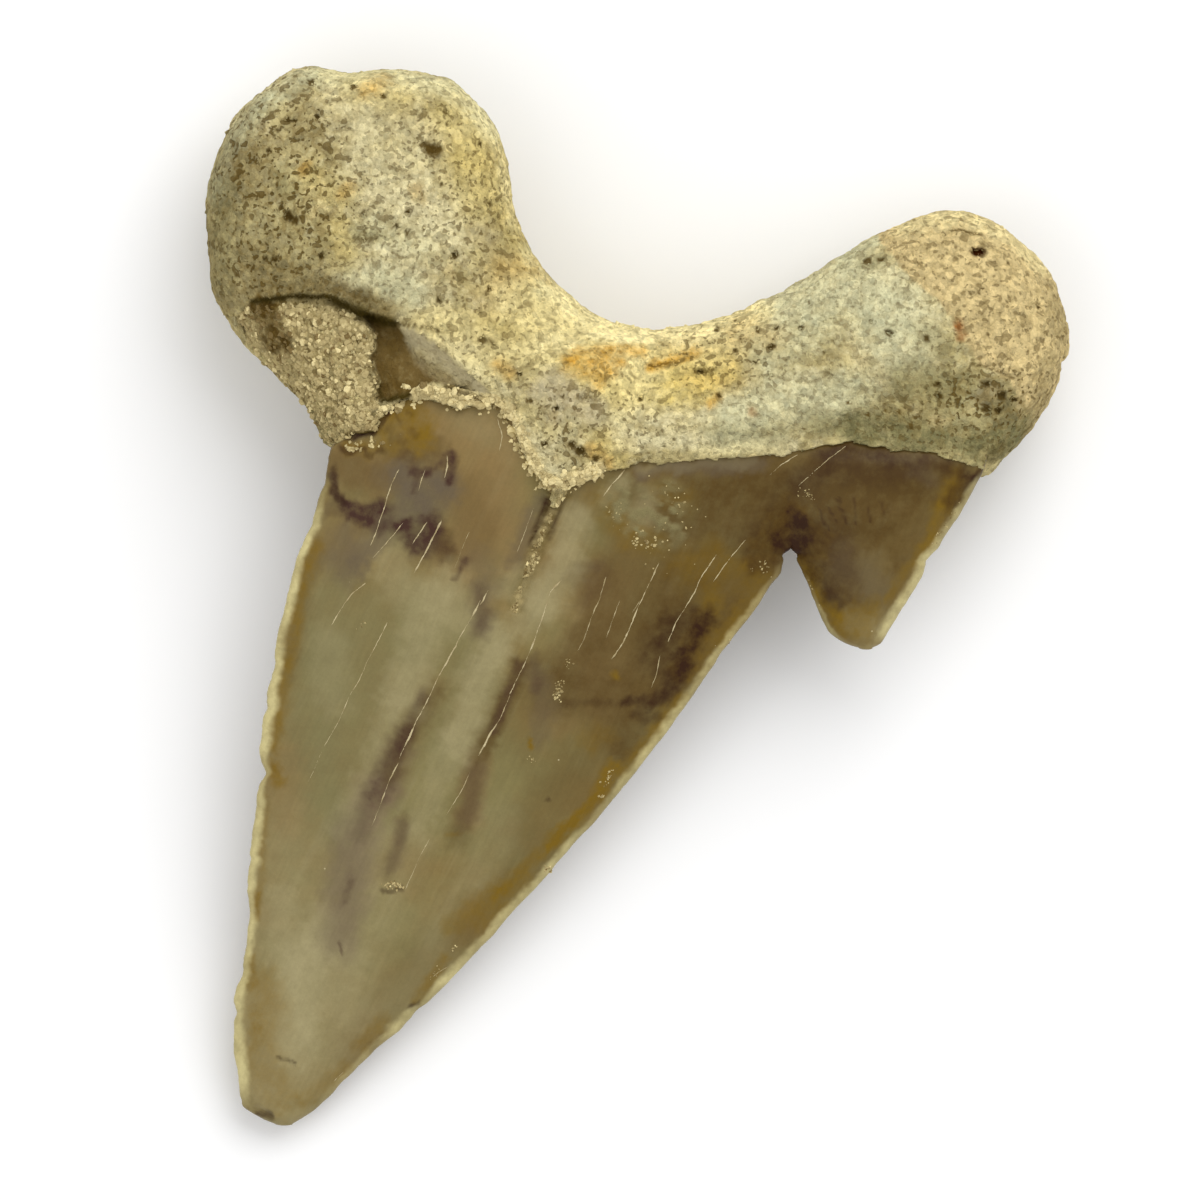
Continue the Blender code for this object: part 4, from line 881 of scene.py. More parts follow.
def enamel_relief(places, at):
    """Low folds, the furrow under the root's point, crust and crack grooves of the enamel's lip side."""
    relief = 0.030 * noise(places, 2.6, 70) + 0.012 * noise(places, 0.9, 71)
    furrow_line = [(560, 470), (552, 512), (538, 545), (522, 590), (510, 640), (495, 700)]
    fade = 1 - ease(500, 680, at[..., 1])
    relief -= 0.34 * np.exp(-((line_distance(at, furrow_line) / 15) ** 2)) * fade
    for points, width, height in (
        ([(600, 480), (585, 520), (565, 560), (545, 610)], 20, 0.16),
        ([(520, 470), (520, 520), (505, 570)], 16, 0.12),
        ([(430, 440), (420, 520)], 40, 0.06),
        ([(690, 480), (660, 560), (630, 620)], 36, 0.06),
    ):
        relief += height * np.exp(-((line_distance(at, points) / width) ** 2))
    slot = 1 - ease(2.0, 6.5, line_distance(at + rough_noise(places, 0.4, 74)[..., None] * 2.5, FISSURE))
    relief -= 0.35 * slot
    slot = slot * ease(-0.1, 0.45, rough_noise(places, 0.6, 75))
    pit = 1 - ease(3, 8, line_distance(at, [(556, 488), (562, 492)]))
    relief -= 0.6 * pit
    crust = 1 - ease(0.3, 1.2, line_distance(at, [(622, 500), (640, 520), (662, 500), (668, 525)]) / 26)
    crust = crust * ease(-0.3, 0.4, rough_noise(places, 0.4, 78))
    relief += crust * (0.05 + 0.08 * rough_noise(places, 0.3, 77))
    for points, half_width in MINERAL_CRACKS:
        relief -= 0.02 * (1 - ease(half_width, half_width + 2, line_distance(at, points)))
    notch = 1 - ease(1.0, 3.5, line_distance(at, [(277, 1060), (286, 1062), (293, 1066)]))
    flake = 1 - ease(3, 7, line_distance(at, [(256, 1112), (268, 1119)]))
    return relief - 0.08 * notch - 0.15 * flake, np.maximum(slot, pit), crust


def build_blade(blade, nicks, counts):
    """The crown or the cusplet, with its relief, stains, painted sheen and painted shadow, and pale rims."""
    grid, from_left, from_right = blade_grid(blade, nicks, *counts)
    from_edge = np.minimum(from_left, from_right)
    lip_points = counts[1]
    places = grid[:, :lip_points]
    at = on_map(places)
    relief, slot, crust = enamel_relief(places, at)
    x, y = places[..., 0], places[..., 1]
    melted, _, crown, cusplet = enamel_top(x, y)
    own, other = (crown, cusplet) if blade == "crown" else (cusplet, crown)
    raised = places[..., 2] + (melted - own) * ease(0.0, 0.5, from_edge[:, :lip_points] + 0.25)
    raised = raised - 0.6 * np.clip(other - own, 0, 1.2) ** 2
    fade = ease(0.0, 0.5, from_edge[:, :lip_points])
    grid[:, :lip_points, 2] = raised + relief * fade
    rest = grid[:, lip_points:]
    grid[:, lip_points:, 2] += 0.05 * noise(rest, 2.0, 80) * ease(0, 0.5, from_edge[:, lip_points:])
    grid[..., 2] = np.maximum(grid[..., 2], 0.0)
    end = dome(grid[-1], grid[-2], 5, 0.12)
    grid = np.concatenate([grid, end])
    from_left, from_right, slot, crust = (
        np.concatenate([values, np.repeat(values[-1:], len(end), axis=0)])
        for values in (from_left, from_right, slot, crust)
    )

    obj = grid_object(blade, grid)
    everywhere = on_map(grid) + growth_streaks(grid) * 7
    lip = np.zeros(grid.shape[:2])
    lip[:, :lip_points] = 1
    for number, (name, strokes) in enumerate(ENAMEL_STAINS.items()):
        cover = painted(everywhere, strokes, grid, 90 + 3 * number)
        hidden = 0.5 * ease(0.0, 0.8, rough_noise(grid, 3.5, 120 + number) + 0.1)
        add_mask(obj, name, cover * lip + (1 - lip) * (cover * 0.4 + hidden * 0.6))
    add_mask(obj, "rim", rim_cover(blade, grid, from_left, from_right))
    for name, cover in (("slot", slot), ("crust", crust)):
        full = np.zeros(grid.shape[:2])
        full[:, :lip_points] = cover
        add_mask(obj, name, full)
    return obj


def surface_finder(names):
    """A function that gives the highest place and its direction on the named pieces, straight above an x and y."""
    trees = []
    for name in names:
        if name not in bpy.data.objects:
            raise RuntimeError(f"Build {name} first: the sand and the crack fillings lie on it")
        mesh = bpy.data.objects[name].data
        points = np.empty(len(mesh.vertices) * 3, np.float32)
        mesh.vertices.foreach_get("co", points)
        faces = [tuple(face.vertices) for face in mesh.polygons]
        trees.append(BVHTree.FromPolygons((points.reshape(-1, 3) / MM).tolist(), faces))

    def find(x, y):
        best = None
        for tree in trees:
            hit, normal, _, _ = tree.ray_cast(Vector((x, y, 20.0)), Vector((0, 0, -1)))
            if hit and (best is None or hit.z > best[0].z):
                best = (hit, normal if normal.z > 0 else -normal)
        return None if best is None else (np.array(best[0]), np.array(best[1]))

    return find


def ball(rounds):
    """The points and triangles of a round ball; every round has four times the triangles."""
    built = bmesh.new()
    bmesh.ops.create_icosphere(built, subdivisions=rounds, radius=1.0)
    points = np.array([v.co[:] for v in built.verts])
    faces = np.array([[v.index for v in f.verts] for f in built.faces])
    built.free()
    return points, faces


def heap_object(name, grains, rounds, seed):
    """One mesh of many uneven grains: each is its middle, its radius and its tone."""
    rng = np.random.default_rng(seed)
    points, faces = ball(rounds)
    count = len(grains)
    middles, sizes, tones = (np.array([grain[i] for grain in grains]) for i in range(3))
    turns, _ = np.linalg.qr(rng.normal(size=(count, 3, 3)))
    stretch = rng.uniform(0.6, 1.3, (count, 1, 3))
    knocks = 1 + rng.normal(0, 0.16, (count, len(points), 1))
    shapes = np.einsum("gpi,gij->gpj", points[None] * stretch * knocks, turns) * np.array([1.0, 1.0, 0.6])
    places = shapes * sizes[:, None, None] + middles[:, None]
    mirrored = np.linalg.det(turns) < 0
    corners = faces[None] + (np.arange(count) * len(points))[:, None, None]
    corners[mirrored] = corners[mirrored][..., ::-1]
    obj = mesh_object(name, (places.reshape(-1, 3) * MM).tolist(), corners.reshape(-1, 3).tolist())
    add_mask(obj, "tone", np.repeat(tones, len(points)))
    return obj


def laid_grain(find, x, y, across, sunk, tone):
    """A grain of a given width in map units, half sunk in the surface under a place on the map, or None."""
    place = off_map((x, y))
    found = find(*place)
    if found is None or found[1][2] < 0.15:
        return None
    radius = across / MAP_UNITS / 2
    return found[0] + found[1] * radius * (0.5 - sunk), radius, min(max(tone, 0.0), 1.0)


def build_sand(sizes, material):
    """Sand that sticks in bands along the seam and the cracks, and fills the hollow of the large lobe."""
    find = surface_finder(("root", "crown", "cusplet"))
    rng = np.random.default_rng(11)
    grains = []
    for rows, half_width, count, small, large in SAND_LINES:
        for _ in range(int(count * sizes.sand_amount)):
            spot = rng.uniform(0, len(rows) - 1)
            row = min(int(spot), len(rows) - 2)
            x, y = rows[row] + (rows[row + 1] - rows[row]) * (spot - row) + rng.normal(0, half_width * 0.5, 2)
            spot = np.array([x, y])
            if min(line_distance(spot, line) for line in BARE_LINES) < 5:
                continue
            across = small + (large - small) * rng.random() ** 2
            tone = rng.normal(0.75 if line_distance(spot, FRINGE_LINE) < 20 else 0.4, 0.2)
            grains.append(laid_grain(find, x, y, across, rng.uniform(0.45, 0.8), tone))
    low, high = np.min(SAND_HOLLOW, axis=0), np.max(SAND_HOLLOW, axis=0)
    wanted = int(HOLLOW_GRAINS * sizes.sand_amount)
    while wanted > 0:
        spots = rng.uniform(low, high, (400, 2))
        for spot in spots[inside(spots, SAND_HOLLOW) > 1][:wanted]:
            if min(line_distance(spot, line) for line in BARE_LINES) < 7:
                continue
            brown = line_distance(spot, BROWN_PATCH) < rng.uniform(11, 16)
            if brown and rng.random() < 0.6:
                continue
            across = rng.uniform(2.4, 7.5)
            tone = rng.uniform(0, 0.12) if brown else rng.normal(0.48, 0.2)
            grains.append(laid_grain(find, *spot, across, rng.uniform(0.5, 0.9), tone))
            wanted -= 1
    finish_piece(heap_object("sand_grains", [grain for grain in grains if grain], 2, 12), material)


def build_grit(sizes, material):
    """The bone's own coarse grains, which stand a little out of the root all over its lip side."""
    find = surface_finder(("root",))
    rng = np.random.default_rng(17)
    spots = rng.uniform(*ROOT_BOX, (int(GRIT_TRIES * sizes.grit), 2))
    spots = spots[(above_seam(spots) > 4) & (inside(spots, SMOOTH_HOLLOW) < 0) & (inside(spots, SLIVER) < 0)]
    grit = []
    for x, y in spots:
        grain = laid_grain(find, x, y, rng.uniform(2.4, 6.5), rng.uniform(0.8, 1.15), rng.normal(0.5, 0.2))
        if grain:
            grit.append(grain)
    grit = grit[:GRIT_GRAINS]
    obj = heap_object("bone_grit", grit, 1, 13)
    count = len(obj.data.vertices) // len(grit)
    middles = np.array([grain[0] for grain in grit])
    for name, cover in root_stains(on_map(middles), middles):
        add_mask(obj, name, np.repeat(cover, count))
    finish_piece(obj, material)


def build_crack_fillings(material):
    """Thin uneven threads of pale mineral that stand a hair above the enamel's cracks."""
    find = surface_finder(("crown", "cusplet"))
    rng = np.random.default_rng(23)
    points, faces = [], []
    sides = 6
    for rows, half_width in MINERAL_CRACKS:
        steps = np.concatenate([[0], np.cumsum(np.linalg.norm(np.diff(rows, axis=0), axis=1))])
        spots = np.arange(0, steps[-1], 1.6)
        spine = np.stack([np.interp(spots, steps, rows[:, i]) for i in (0, 1)], -1)
        spine += np.cumsum(rng.normal(0, 0.12, spine.shape), axis=0)
        swell = ease(-0.4, 0.8, rough_noise(off_map(spine), 0.5, 31 + len(points) % 7))
        radii = half_width / MAP_UNITS * (0.04 + 1.1 * swell + rng.uniform(0, 0.45, len(spine)))
        radii *= np.minimum(1, np.minimum(np.arange(len(spine)), np.arange(len(spine))[::-1]) / 3 + 0.15)
        middles = []
        for x, y in off_map(spine):
            found = find(x, y)
            if found is None:
                break
            middles.append(found[0])
        if len(middles) < 3:
            continue
        middles = np.array(middles)
        ahead = np.gradient(middles, axis=0)
        across = np.cross(ahead, [0, 0, 1.0])
        across /= np.linalg.norm(across, axis=1, keepdims=True)
        turn = np.linspace(0, 2 * math.pi, sides, endpoint=False)[None, :, None]
        reach = radii[: len(middles), None, None]
        up = np.array([0, 0, 1.0])
        rings = middles[:, None] + across[:, None] * np.cos(turn) * reach + up * (np.sin(turn) * 0.7) * reach
        start = len(points)
        points.extend(rings.reshape(-1, 3).tolist())
        for ring in range(len(middles) - 1):
            for side in range(sides):
                a, b = start + ring * sides + side, start + ring * sides + (side + 1) % sides
                faces.append((a, b, b + sides, a + sides))
        faces.append(tuple(range(start, start + sides))[::-1])
        faces.append(tuple(range(len(points) - sides, len(points))))
    obj = mesh_object("crack_fillings", (np.array(points) * MM).tolist(), faces)
    turned = bmesh.new()
    turned.from_mesh(obj.data)
    bmesh.ops.recalc_face_normals(turned, faces=turned.faces)
    turned.to_mesh(obj.data)
    turned.free()
    obj.data.shade_smooth()
    finish_piece(obj, material)


def feed(tree, node, feeds):
    """Feeds a node's inputs with values, with colours of three parts, or with other nodes' outputs."""
    for where, value in dict(feeds).items():
        if isinstance(value, bpy.types.NodeSocket):
            tree.links.new(value, node.inputs[where])
        else:
            node.inputs[where].default_value = (*value, 1) if node.inputs[where].type == "RGBA" else value


def put(tree, kind, feeds=(), **settings):
    """Adds a node, sets it up and feeds it."""
    node = tree.nodes.new("ShaderNode" + kind)
    for name, value in settings.items():
        setattr(node, name, value)
    feed(tree, node, feeds)
    return node


def calc(tree, operation, first, second=0.0, third=0.0, clamp=False):
    feeds = {0: first, 1: second}
    if operation == "MULTIPLY_ADD":
        feeds[2] = third
    return put(tree, "Math", feeds, operation=operation, use_clamp=clamp).outputs[0]


def spread(tree, value, low, high, to_low=0.0, to_high=1.0):
    feeds = {"Value": value, "From Min": low, "From Max": high, "To Min": to_low, "To Max": to_high}
    return put(tree, "MapRange", feeds, interpolation_type="SMOOTHSTEP").outputs[0]


def mixed(tree, share, first, second, blend="MIX"):
    return put(tree, "Mix", {0: share, 6: first, 7: second}, data_type="RGBA", blend_type=blend).outputs[2]


def mask(tree, name):
    return put(tree, "Attribute", attribute_type="GEOMETRY", attribute_name=name).outputs["Fac"]


def new_group(name, takes, gives):
    """A node group with named inputs and outputs, and its two end nodes."""
    tree = bpy.data.node_groups.new(name, "ShaderNodeTree")
    for label, kind, value in takes:
        socket = tree.interface.new_socket(label, in_out="INPUT", socket_type="NodeSocket" + kind)
        if value is not None:
            socket.default_value = value
    for label, kind in gives:
        tree.interface.new_socket(label, in_out="OUTPUT", socket_type="NodeSocket" + kind)
    return tree, tree.nodes.new("NodeGroupInput").outputs, tree.nodes.new("NodeGroupOutput").inputs


def use_group(tree, name, feeds=()):
    node = tree.nodes.new("ShaderNodeGroup")
    node.node_tree = effect(name)
    feed(tree, node, feeds)
    return node.outputs


def effect(name):
    """One of the effects that the materials share, built when it is first asked for."""
    if name in bpy.data.node_groups:
        return bpy.data.node_groups[name]
    return EFFECTS[name](name)


def places_effect(name):
    """Where a point of the tooth is, in millimetres, and the same stretched along the way the crown grew."""
    tree, _, out = new_group(name, (), (("Places", "Vector"), ("Streaks", "Vector")))
    coordinates = put(tree, "TexCoord").outputs["Object"]
    places = put(tree, "VectorMath", {0: coordinates, 1: (1000, 1000, 1000)}, operation="MULTIPLY").outputs[0]
    across, along = (
        put(tree, "VectorMath", {0: places, 1: (*way, 0)}, operation="DOT_PRODUCT").outputs["Value"]
        for way in (GROWTH_ACROSS, GROWTH_ALONG)
    )
    streaks = put(tree, "CombineXYZ", {0: across, 1: along, 2: 0.0}).outputs[0]
    tree.links.new(places, out["Places"])
    tree.links.new(streaks, out["Streaks"])
    return tree


def cloud_effect(name):
    """Soft mottling of a given size in millimetres, from 0 to 1."""
    takes = (("Places", "Vector", None), ("Size", "Float", 1.0), ("Fineness", "Float", 0.6))
    tree, given, out = new_group(name, takes, (("Value", "Float"),))
    scale = calc(tree, "DIVIDE", 1.0, given["Size"])
    feeds = {"Vector": given["Places"], "Scale": scale, "Detail": 4.0, "Roughness": given["Fineness"]}
    value = put(tree, "TexNoise", feeds).outputs["Fac"]
    stretched = put(tree, "MapRange", {"Value": value, "From Min": 0.25, "From Max": 0.75}).outputs[0]
    tree.links.new(stretched, out["Value"])
    return tree


def grains_effect(name):
    """Packed grains of a given size: each one's own tone, how high it stands, and the painted shade in the gaps
    between them.
    """
    takes = (("Places", "Vector", None), ("Size", "Float", 0.2))
    tree, given, out = new_group(name, takes, (("Tone", "Float"), ("Height", "Float"), ("Crevice Shade", "Float")))
    scale = calc(tree, "DIVIDE", 1.0, given["Size"])
    warp = put(tree, "TexNoise", {"Vector": given["Places"], "Scale": scale, "Detail": 1.0}).outputs["Color"]
    warp = put(tree, "VectorMath", {0: warp, "Scale": calc(tree, "MULTIPLY", given["Size"], 1.1)}, operation="SCALE")
    places = put(tree, "VectorMath", {0: given["Places"], 1: warp.outputs[0]}, operation="ADD").outputs[0]
    cells = put(tree, "TexVoronoi", {"Vector": places, "Scale": scale}, feature="F1").outputs
    tone = put(tree, "SeparateColor", {0: cells["Color"]}).outputs[0]
    tree.links.new(tone, out["Tone"])
    tree.links.new(calc(tree, "SUBTRACT", 1.0, cells["Distance"], clamp=True), out["Height"])
    tree.links.new(spread(tree, cells["Distance"], 0.48, 0.72), out["Crevice Shade"])
    return tree


def pores_effect(name):
    """Small round holes of a given spacing; a share of the places for one has it."""
    takes = (("Places", "Vector", None), ("Spacing", "Float", 0.5), ("Share", "Float", 0.3), ("Width", "Float", 0.2))
    tree, given, out = new_group(name, takes, (("Mask", "Float"),))
    scale = calc(tree, "DIVIDE", 1.0, given["Spacing"])
    cells = put(tree, "TexVoronoi", {"Vector": given["Places"], "Scale": scale}, feature="F1").outputs
    chance = put(tree, "SeparateColor", {0: cells["Color"]}).outputs
    width = calc(tree, "MULTIPLY", given["Width"], calc(tree, "MULTIPLY_ADD", chance[1], 0.8, 0.5))
    round_mask = spread(tree, calc(tree, "DIVIDE", cells["Distance"], width), 1.2, 0.6)
    chosen = calc(tree, "LESS_THAN", chance[0], given["Share"])
    tree.links.new(calc(tree, "MULTIPLY", round_mask, chosen), out["Mask"])
    return tree


def flecks_effect(name):
    """Ragged dark flecks of a given size; the share is how much of the surface they take."""
    takes = (("Places", "Vector", None), ("Size", "Float", 0.3), ("Share", "Float", 0.35))
    tree, given, out = new_group(name, takes, (("Mask", "Float"),))
    scale = calc(tree, "DIVIDE", 1.0, given["Size"])
    feeds = {"Vector": given["Places"], "Scale": scale, "Detail": 1.0, "Roughness": 0.5, "Distortion": 0.2}
    value = put(tree, "TexNoise", feeds).outputs["Fac"]
    limit = calc(tree, "MULTIPLY_ADD", given["Share"], 0.35, 0.26)
    inside_fleck = calc(tree, "MULTIPLY", calc(tree, "SUBTRACT", limit, value), 26.0, clamp=True)
    tree.links.new(inside_fleck, out["Mask"])
    return tree


def stain_effect(name):
    """Lays a stain over a colour. Its cover is uneven, as the given unevenness from 0 to 1 breaks it up."""
    takes = (("Colour", "Color", None), ("Stain", "Color", None), ("Cover", "Float", 0.0),
             ("Unevenness", "Float", 0.5), ("Broken", "Float", 0.5))
    tree, given, out = new_group(name, takes, (("Colour", "Color"),))
    shift = calc(tree, "MULTIPLY", calc(tree, "SUBTRACT", given["Unevenness"], 0.5), given["Broken"])
    share = calc(tree, "MULTIPLY_ADD", calc(tree, "MULTIPLY", shift, given["Cover"]), 1.6, given["Cover"], clamp=True)
    tree.links.new(mixed(tree, share, given["Colour"], given["Stain"]), out["Colour"])
    return tree


EFFECTS = {
    "Places": places_effect,
    "Clouds": cloud_effect,
    "Packed Grains": grains_effect,
    "Pores": pores_effect,
    "Flecks": flecks_effect,
    "Stain": stain_effect,
}


def new_material(name, roughness, specular):
    material = bpy.data.materials.new(name)
    material.use_nodes = True
    shader = material.node_tree.nodes["Principled BSDF"]
    shader.inputs["Roughness"].default_value = roughness
    shader.inputs["Specular IOR Level"].default_value = specular
    return material, material.node_tree, shader


def clouds(tree, places, size, fineness):
    return use_group(tree, "Clouds", {"Places": places, "Size": size, "Fineness": fineness})["Value"]


def stained(tree, paint, unevenness, stains):
    """The paint with stains laid over it, in order: each is its mask's name, its colour and how broken it is."""
    for name, stain, broken in stains:
        feeds = {"Colour": paint, "Stain": stain, "Cover": mask(tree, name), "Unevenness": unevenness}
        paint = use_group(tree, "Stain", {**feeds, "Broken": broken})["Colour"]
    return paint


def brightened(tree, paint, brightness):
    grey = put(tree, "CombineColor", {0: brightness, 1: brightness, 2: brightness}).outputs[0]
    return mixed(tree, 1.0, paint, grey, "MULTIPLY")


def add_bump(tree, shader, height, strength, distance):
    bump = put(tree, "Bump", {"Strength": strength, "Distance": distance, "Height": height})
    tree.links.new(bump.outputs[0], shader.inputs["Normal"])


def bone_material(colours):
    """Porous fossil bone with tan, green and orange stains, sand-coloured hollows and dark pores, painted light on its
    lit rim and top edges, and painted shade at its edges, under its ledges and between its grains.
    """
    material, tree, shader = new_material("fossil bone", 0.92, 0.05)
    places = use_group(tree, "Places")["Places"]
    broad = clouds(tree, places, 3.2, 0.55)
    middling = clouds(tree, places, 0.7, 0.7)
    fine = clouds(tree, places, 0.22, 0.75)
    grains = use_group(tree, "Packed Grains", {"Places": places, "Size": 0.22})
    lumps = use_group(tree, "Packed Grains", {"Places": places, "Size": 0.36})
    hue = clouds(tree, places, 1.5, 0.75)

    paint = mixed(tree, spread(tree, broad, 0.2, 0.75), colours.bone_dark, colours.bone)
    paint = mixed(tree, spread(tree, middling, 0.45, 1.0, 0.0, 0.6), paint, colours.bone_pale)
    paint = mixed(tree, spread(tree, hue, 0.55, 0.95, 0.0, 0.55), paint, colours.tan)
    paint = mixed(tree, spread(tree, hue, 0.45, 0.05, 0.0, 0.45), paint, colours.lilac)
    # Painted light and shade among these: the warm cream of the lit rim and top edges, the pale and misty strokes
    # along the top edges, the dull bone at the edges, and part of the dirt under the ledge.
    paint = stained(tree, paint, middling, (
        ("pale", colours.bone_pale, 0.6), ("mist", colours.bone_mist, 0.6), ("yellow", colours.yellow, 0.6),
        ("tan", colours.tan, 0.15), ("painted_light", colours.painted_light, 0.5),
        ("shade", colours.bone_painted_shade, 0.6), ("green", colours.green, 0.6), ("lilac", colours.lilac, 0.4),
        ("orange", colours.orange, 0.9), ("rust", colours.rust, 0.6), ("sandy", colours.sand, 0.3),
        ("cream", colours.cream, 0.3), ("hollow", colours.hollow, 0.3), ("sliver", colours.sliver, 0.2),
        ("dirt_and_shadow", colours.dirt_and_shadow, 0.7),
    ))
    calm = calc(tree, "MAXIMUM", mask(tree, "hollow"), mask(tree, "sliver"), clamp=True)
    lively = calc(tree, "SUBTRACT", 1.0, calc(tree, "MULTIPLY", calm, 0.6))
    tone = calc(tree, "ADD", calc(tree, "MULTIPLY", grains["Tone"], 0.5), calc(tree, "MULTIPLY", fine, 0.5))
    jitter = calc(tree, "MULTIPLY_ADD", calc(tree, "SUBTRACT", tone, 0.5), calc(tree, "MULTIPLY", lively, 0.52), 1.03)
    jitter = calc(tree, "MULTIPLY_ADD", calc(tree, "SUBTRACT", lumps["Tone"], 0.5),
                  calc(tree, "MULTIPLY", lively, 0.42), jitter)
    paint = brightened(tree, paint, jitter)
    pitted = calc(tree, "MULTIPLY_ADD", mask(tree, "pitted"), 0.65, 0.35)
    # Painted shade in the gaps between the bone's coarse grains.
    gaps = calc(tree, "MULTIPLY", lumps["Crevice Shade"], calc(tree, "MULTIPLY", pitted, lively))
    paint = mixed(tree, calc(tree, "MULTIPLY", gaps, 0.45), paint, colours.bone_gap_shade)
    flecks = use_group(tree, "Flecks", {"Places": places, "Size": 0.28, "Share": 0.37})["Mask"]
    larger = use_group(tree, "Flecks", {"Places": places, "Size": 0.6, "Share": 0.30})["Mask"]
    holes = calc(tree, "MULTIPLY", calc(tree, "MAXIMUM", flecks, larger), calc(tree, "MULTIPLY", pitted, lively))
    pore = mask(tree, "pore")
    dark = calc(tree, "MAXIMUM", calc(tree, "MULTIPLY", holes, 0.9), calc(tree, "MULTIPLY", pore, 0.9), clamp=True)
    paint = mixed(tree, dark, paint, colours.pore)
    # Painted shadow under the flaked-off edges, at the sand's edges and along the root's edge.
    paint = mixed(tree, mask(tree, "crevice_shadow"), paint, colours.crevice_shadow)
    paint = mixed(tree, mask(tree, "vein"), paint, colours.vein)
    tree.links.new(paint, shader.inputs["Base Color"])

    height = calc(tree, "MULTIPLY_ADD", grains["Height"], 0.5, calc(tree, "MULTIPLY", fine, 0.8))
    height = calc(tree, "MULTIPLY_ADD", lumps["Height"], 0.5, height)
    height = calc(tree, "MULTIPLY", height, lively)
    height = calc(tree, "SUBTRACT", height, calc(tree, "MULTIPLY", holes, 0.8))
    add_bump(tree, shader, height, 0.9, 0.00014)
    return material


def enamel_material(colours):
    """Old enamel: olive and brown, streaked the way it grew, with dark stains, painted shadow below the root's edge,
    painted sheen among its pale bands, pale rims and a soft sheen.
    """
    material, tree, shader = new_material("fossil enamel", 0.42, 0.14)
    where = use_group(tree, "Places")
    places, streaks = where["Places"], where["Streaks"]
    broad = clouds(tree, places, 5.0, 0.5)
    middling = clouds(tree, places, 0.9, 0.65)
    fine = clouds(tree, places, 0.16, 0.7)
    bands = clouds(tree, streaks, 0.9, 0.5)
    threads = clouds(tree, streaks, 0.22, 0.6)

    paint = mixed(tree, spread(tree, broad, 0.2, 0.8), colours.enamel, colours.enamel_olive)
    paint = mixed(tree, spread(tree, bands, 0.55, 1.0, 0.0, 0.22), paint, colours.enamel_pale)
    # Painted light and shade among these: part of the pale strokes is painted sheen, and part of the darkest brown is
    # painted shadow below the root's edge and in the fissure.
    paint = stained(tree, paint, middling, (
        ("olive", colours.enamel_moss, 0.3), ("rosy", colours.enamel_rosy, 0.3), ("mauve", colours.enamel_mauve, 0.45),
        ("brown", colours.enamel_brown, 0.35), ("pale", colours.enamel_pale, 0.25), ("grey", colours.enamel_grey, 0.3),
        ("ochre", colours.enamel_ochre, 0.7), ("purple", colours.enamel_purple, 0.6),
        ("umber_and_shadow", colours.enamel_umber, 0.7), ("rim", colours.enamel_rim, 0.5), ("crust", colours.enamel_crust, 0.9),
        ("slot", colours.sand, 0.8),
    ))
    tone = calc(tree, "ADD", calc(tree, "MULTIPLY", threads, 0.5), calc(tree, "MULTIPLY", fine, 0.5))
    jitter = calc(tree, "MULTIPLY_ADD", calc(tree, "SUBTRACT", tone, 0.5), 0.22, 1.0)
    jitter = calc(tree, "MULTIPLY_ADD", calc(tree, "SUBTRACT", middling, 0.5), 0.10, jitter)
    paint = brightened(tree, paint, jitter)
    specks = use_group(tree, "Pores", {"Places": places, "Spacing": 1.3, "Share": 0.08, "Width": 0.035})["Mask"]
    paint = mixed(tree, calc(tree, "MULTIPLY", specks, 0.7), paint, colours.mineral)
    tree.links.new(paint, shader.inputs["Base Color"])

    matt = calc(tree, "MAXIMUM", mask(tree, "crust"), mask(tree, "slot"))
    roughness = calc(tree, "MULTIPLY_ADD", middling, 0.14, 0.36)
    roughness = calc(tree, "MULTIPLY_ADD", matt, 0.4, roughness, clamp=True)
    tree.links.new(roughness, shader.inputs["Roughness"])
    height = calc(tree, "MULTIPLY_ADD", threads, 0.5, calc(tree, "MULTIPLY", fine, 0.25))
    height = calc(tree, "MULTIPLY_ADD", calc(tree, "MULTIPLY", matt, fine), 2.5, height)
    add_bump(tree, shader, height, 0.4, 0.00004)
    return material


def sand_material(colours):
    material, tree, shader = new_material("sand grains", 0.85, 0.3)
    places = use_group(tree, "Places")["Places"]
    fine = clouds(tree, places, 0.12, 0.7)
    tone = calc(tree, "MULTIPLY_ADD", calc(tree, "SUBTRACT", fine, 0.5), 0.35, mask(tree, "tone"), clamp=True)
    paint = mixed(tree, spread(tree, tone, 0.0, 0.5), colours.sand_dark, colours.sand)
    paint = mixed(tree, spread(tree, tone, 0.5, 1.0), paint, colours.cream)
    tree.links.new(paint, shader.inputs["Base Color"])
    add_bump(tree, shader, fine, 0.4, 0.00003)
    return material


def mineral_material(colours):
    material, tree, shader = new_material("crack mineral", 0.7, 0.3)
    places = use_group(tree, "Places")["Places"]
    middling = clouds(tree, places, 0.5, 0.6)
    paint = mixed(tree, spread(tree, middling, 0.1, 0.8), colours.mineral_dull, colours.mineral)
    tree.links.new(paint, shader.inputs["Base Color"])
    return material


def shown(red, green, blue):
    """A colour for the shaders from its red, green and blue as a screen shows them, 0 to 255."""
    return tuple(((part / 255 + 0.055) / 1.055) ** 2.4 for part in (red, green, blue))


def tint(name, description, *parts):
    return FloatVectorProperty(name=name, description=description, subtype="COLOR", size=3, min=0, max=1,
                               default=shown(*parts))


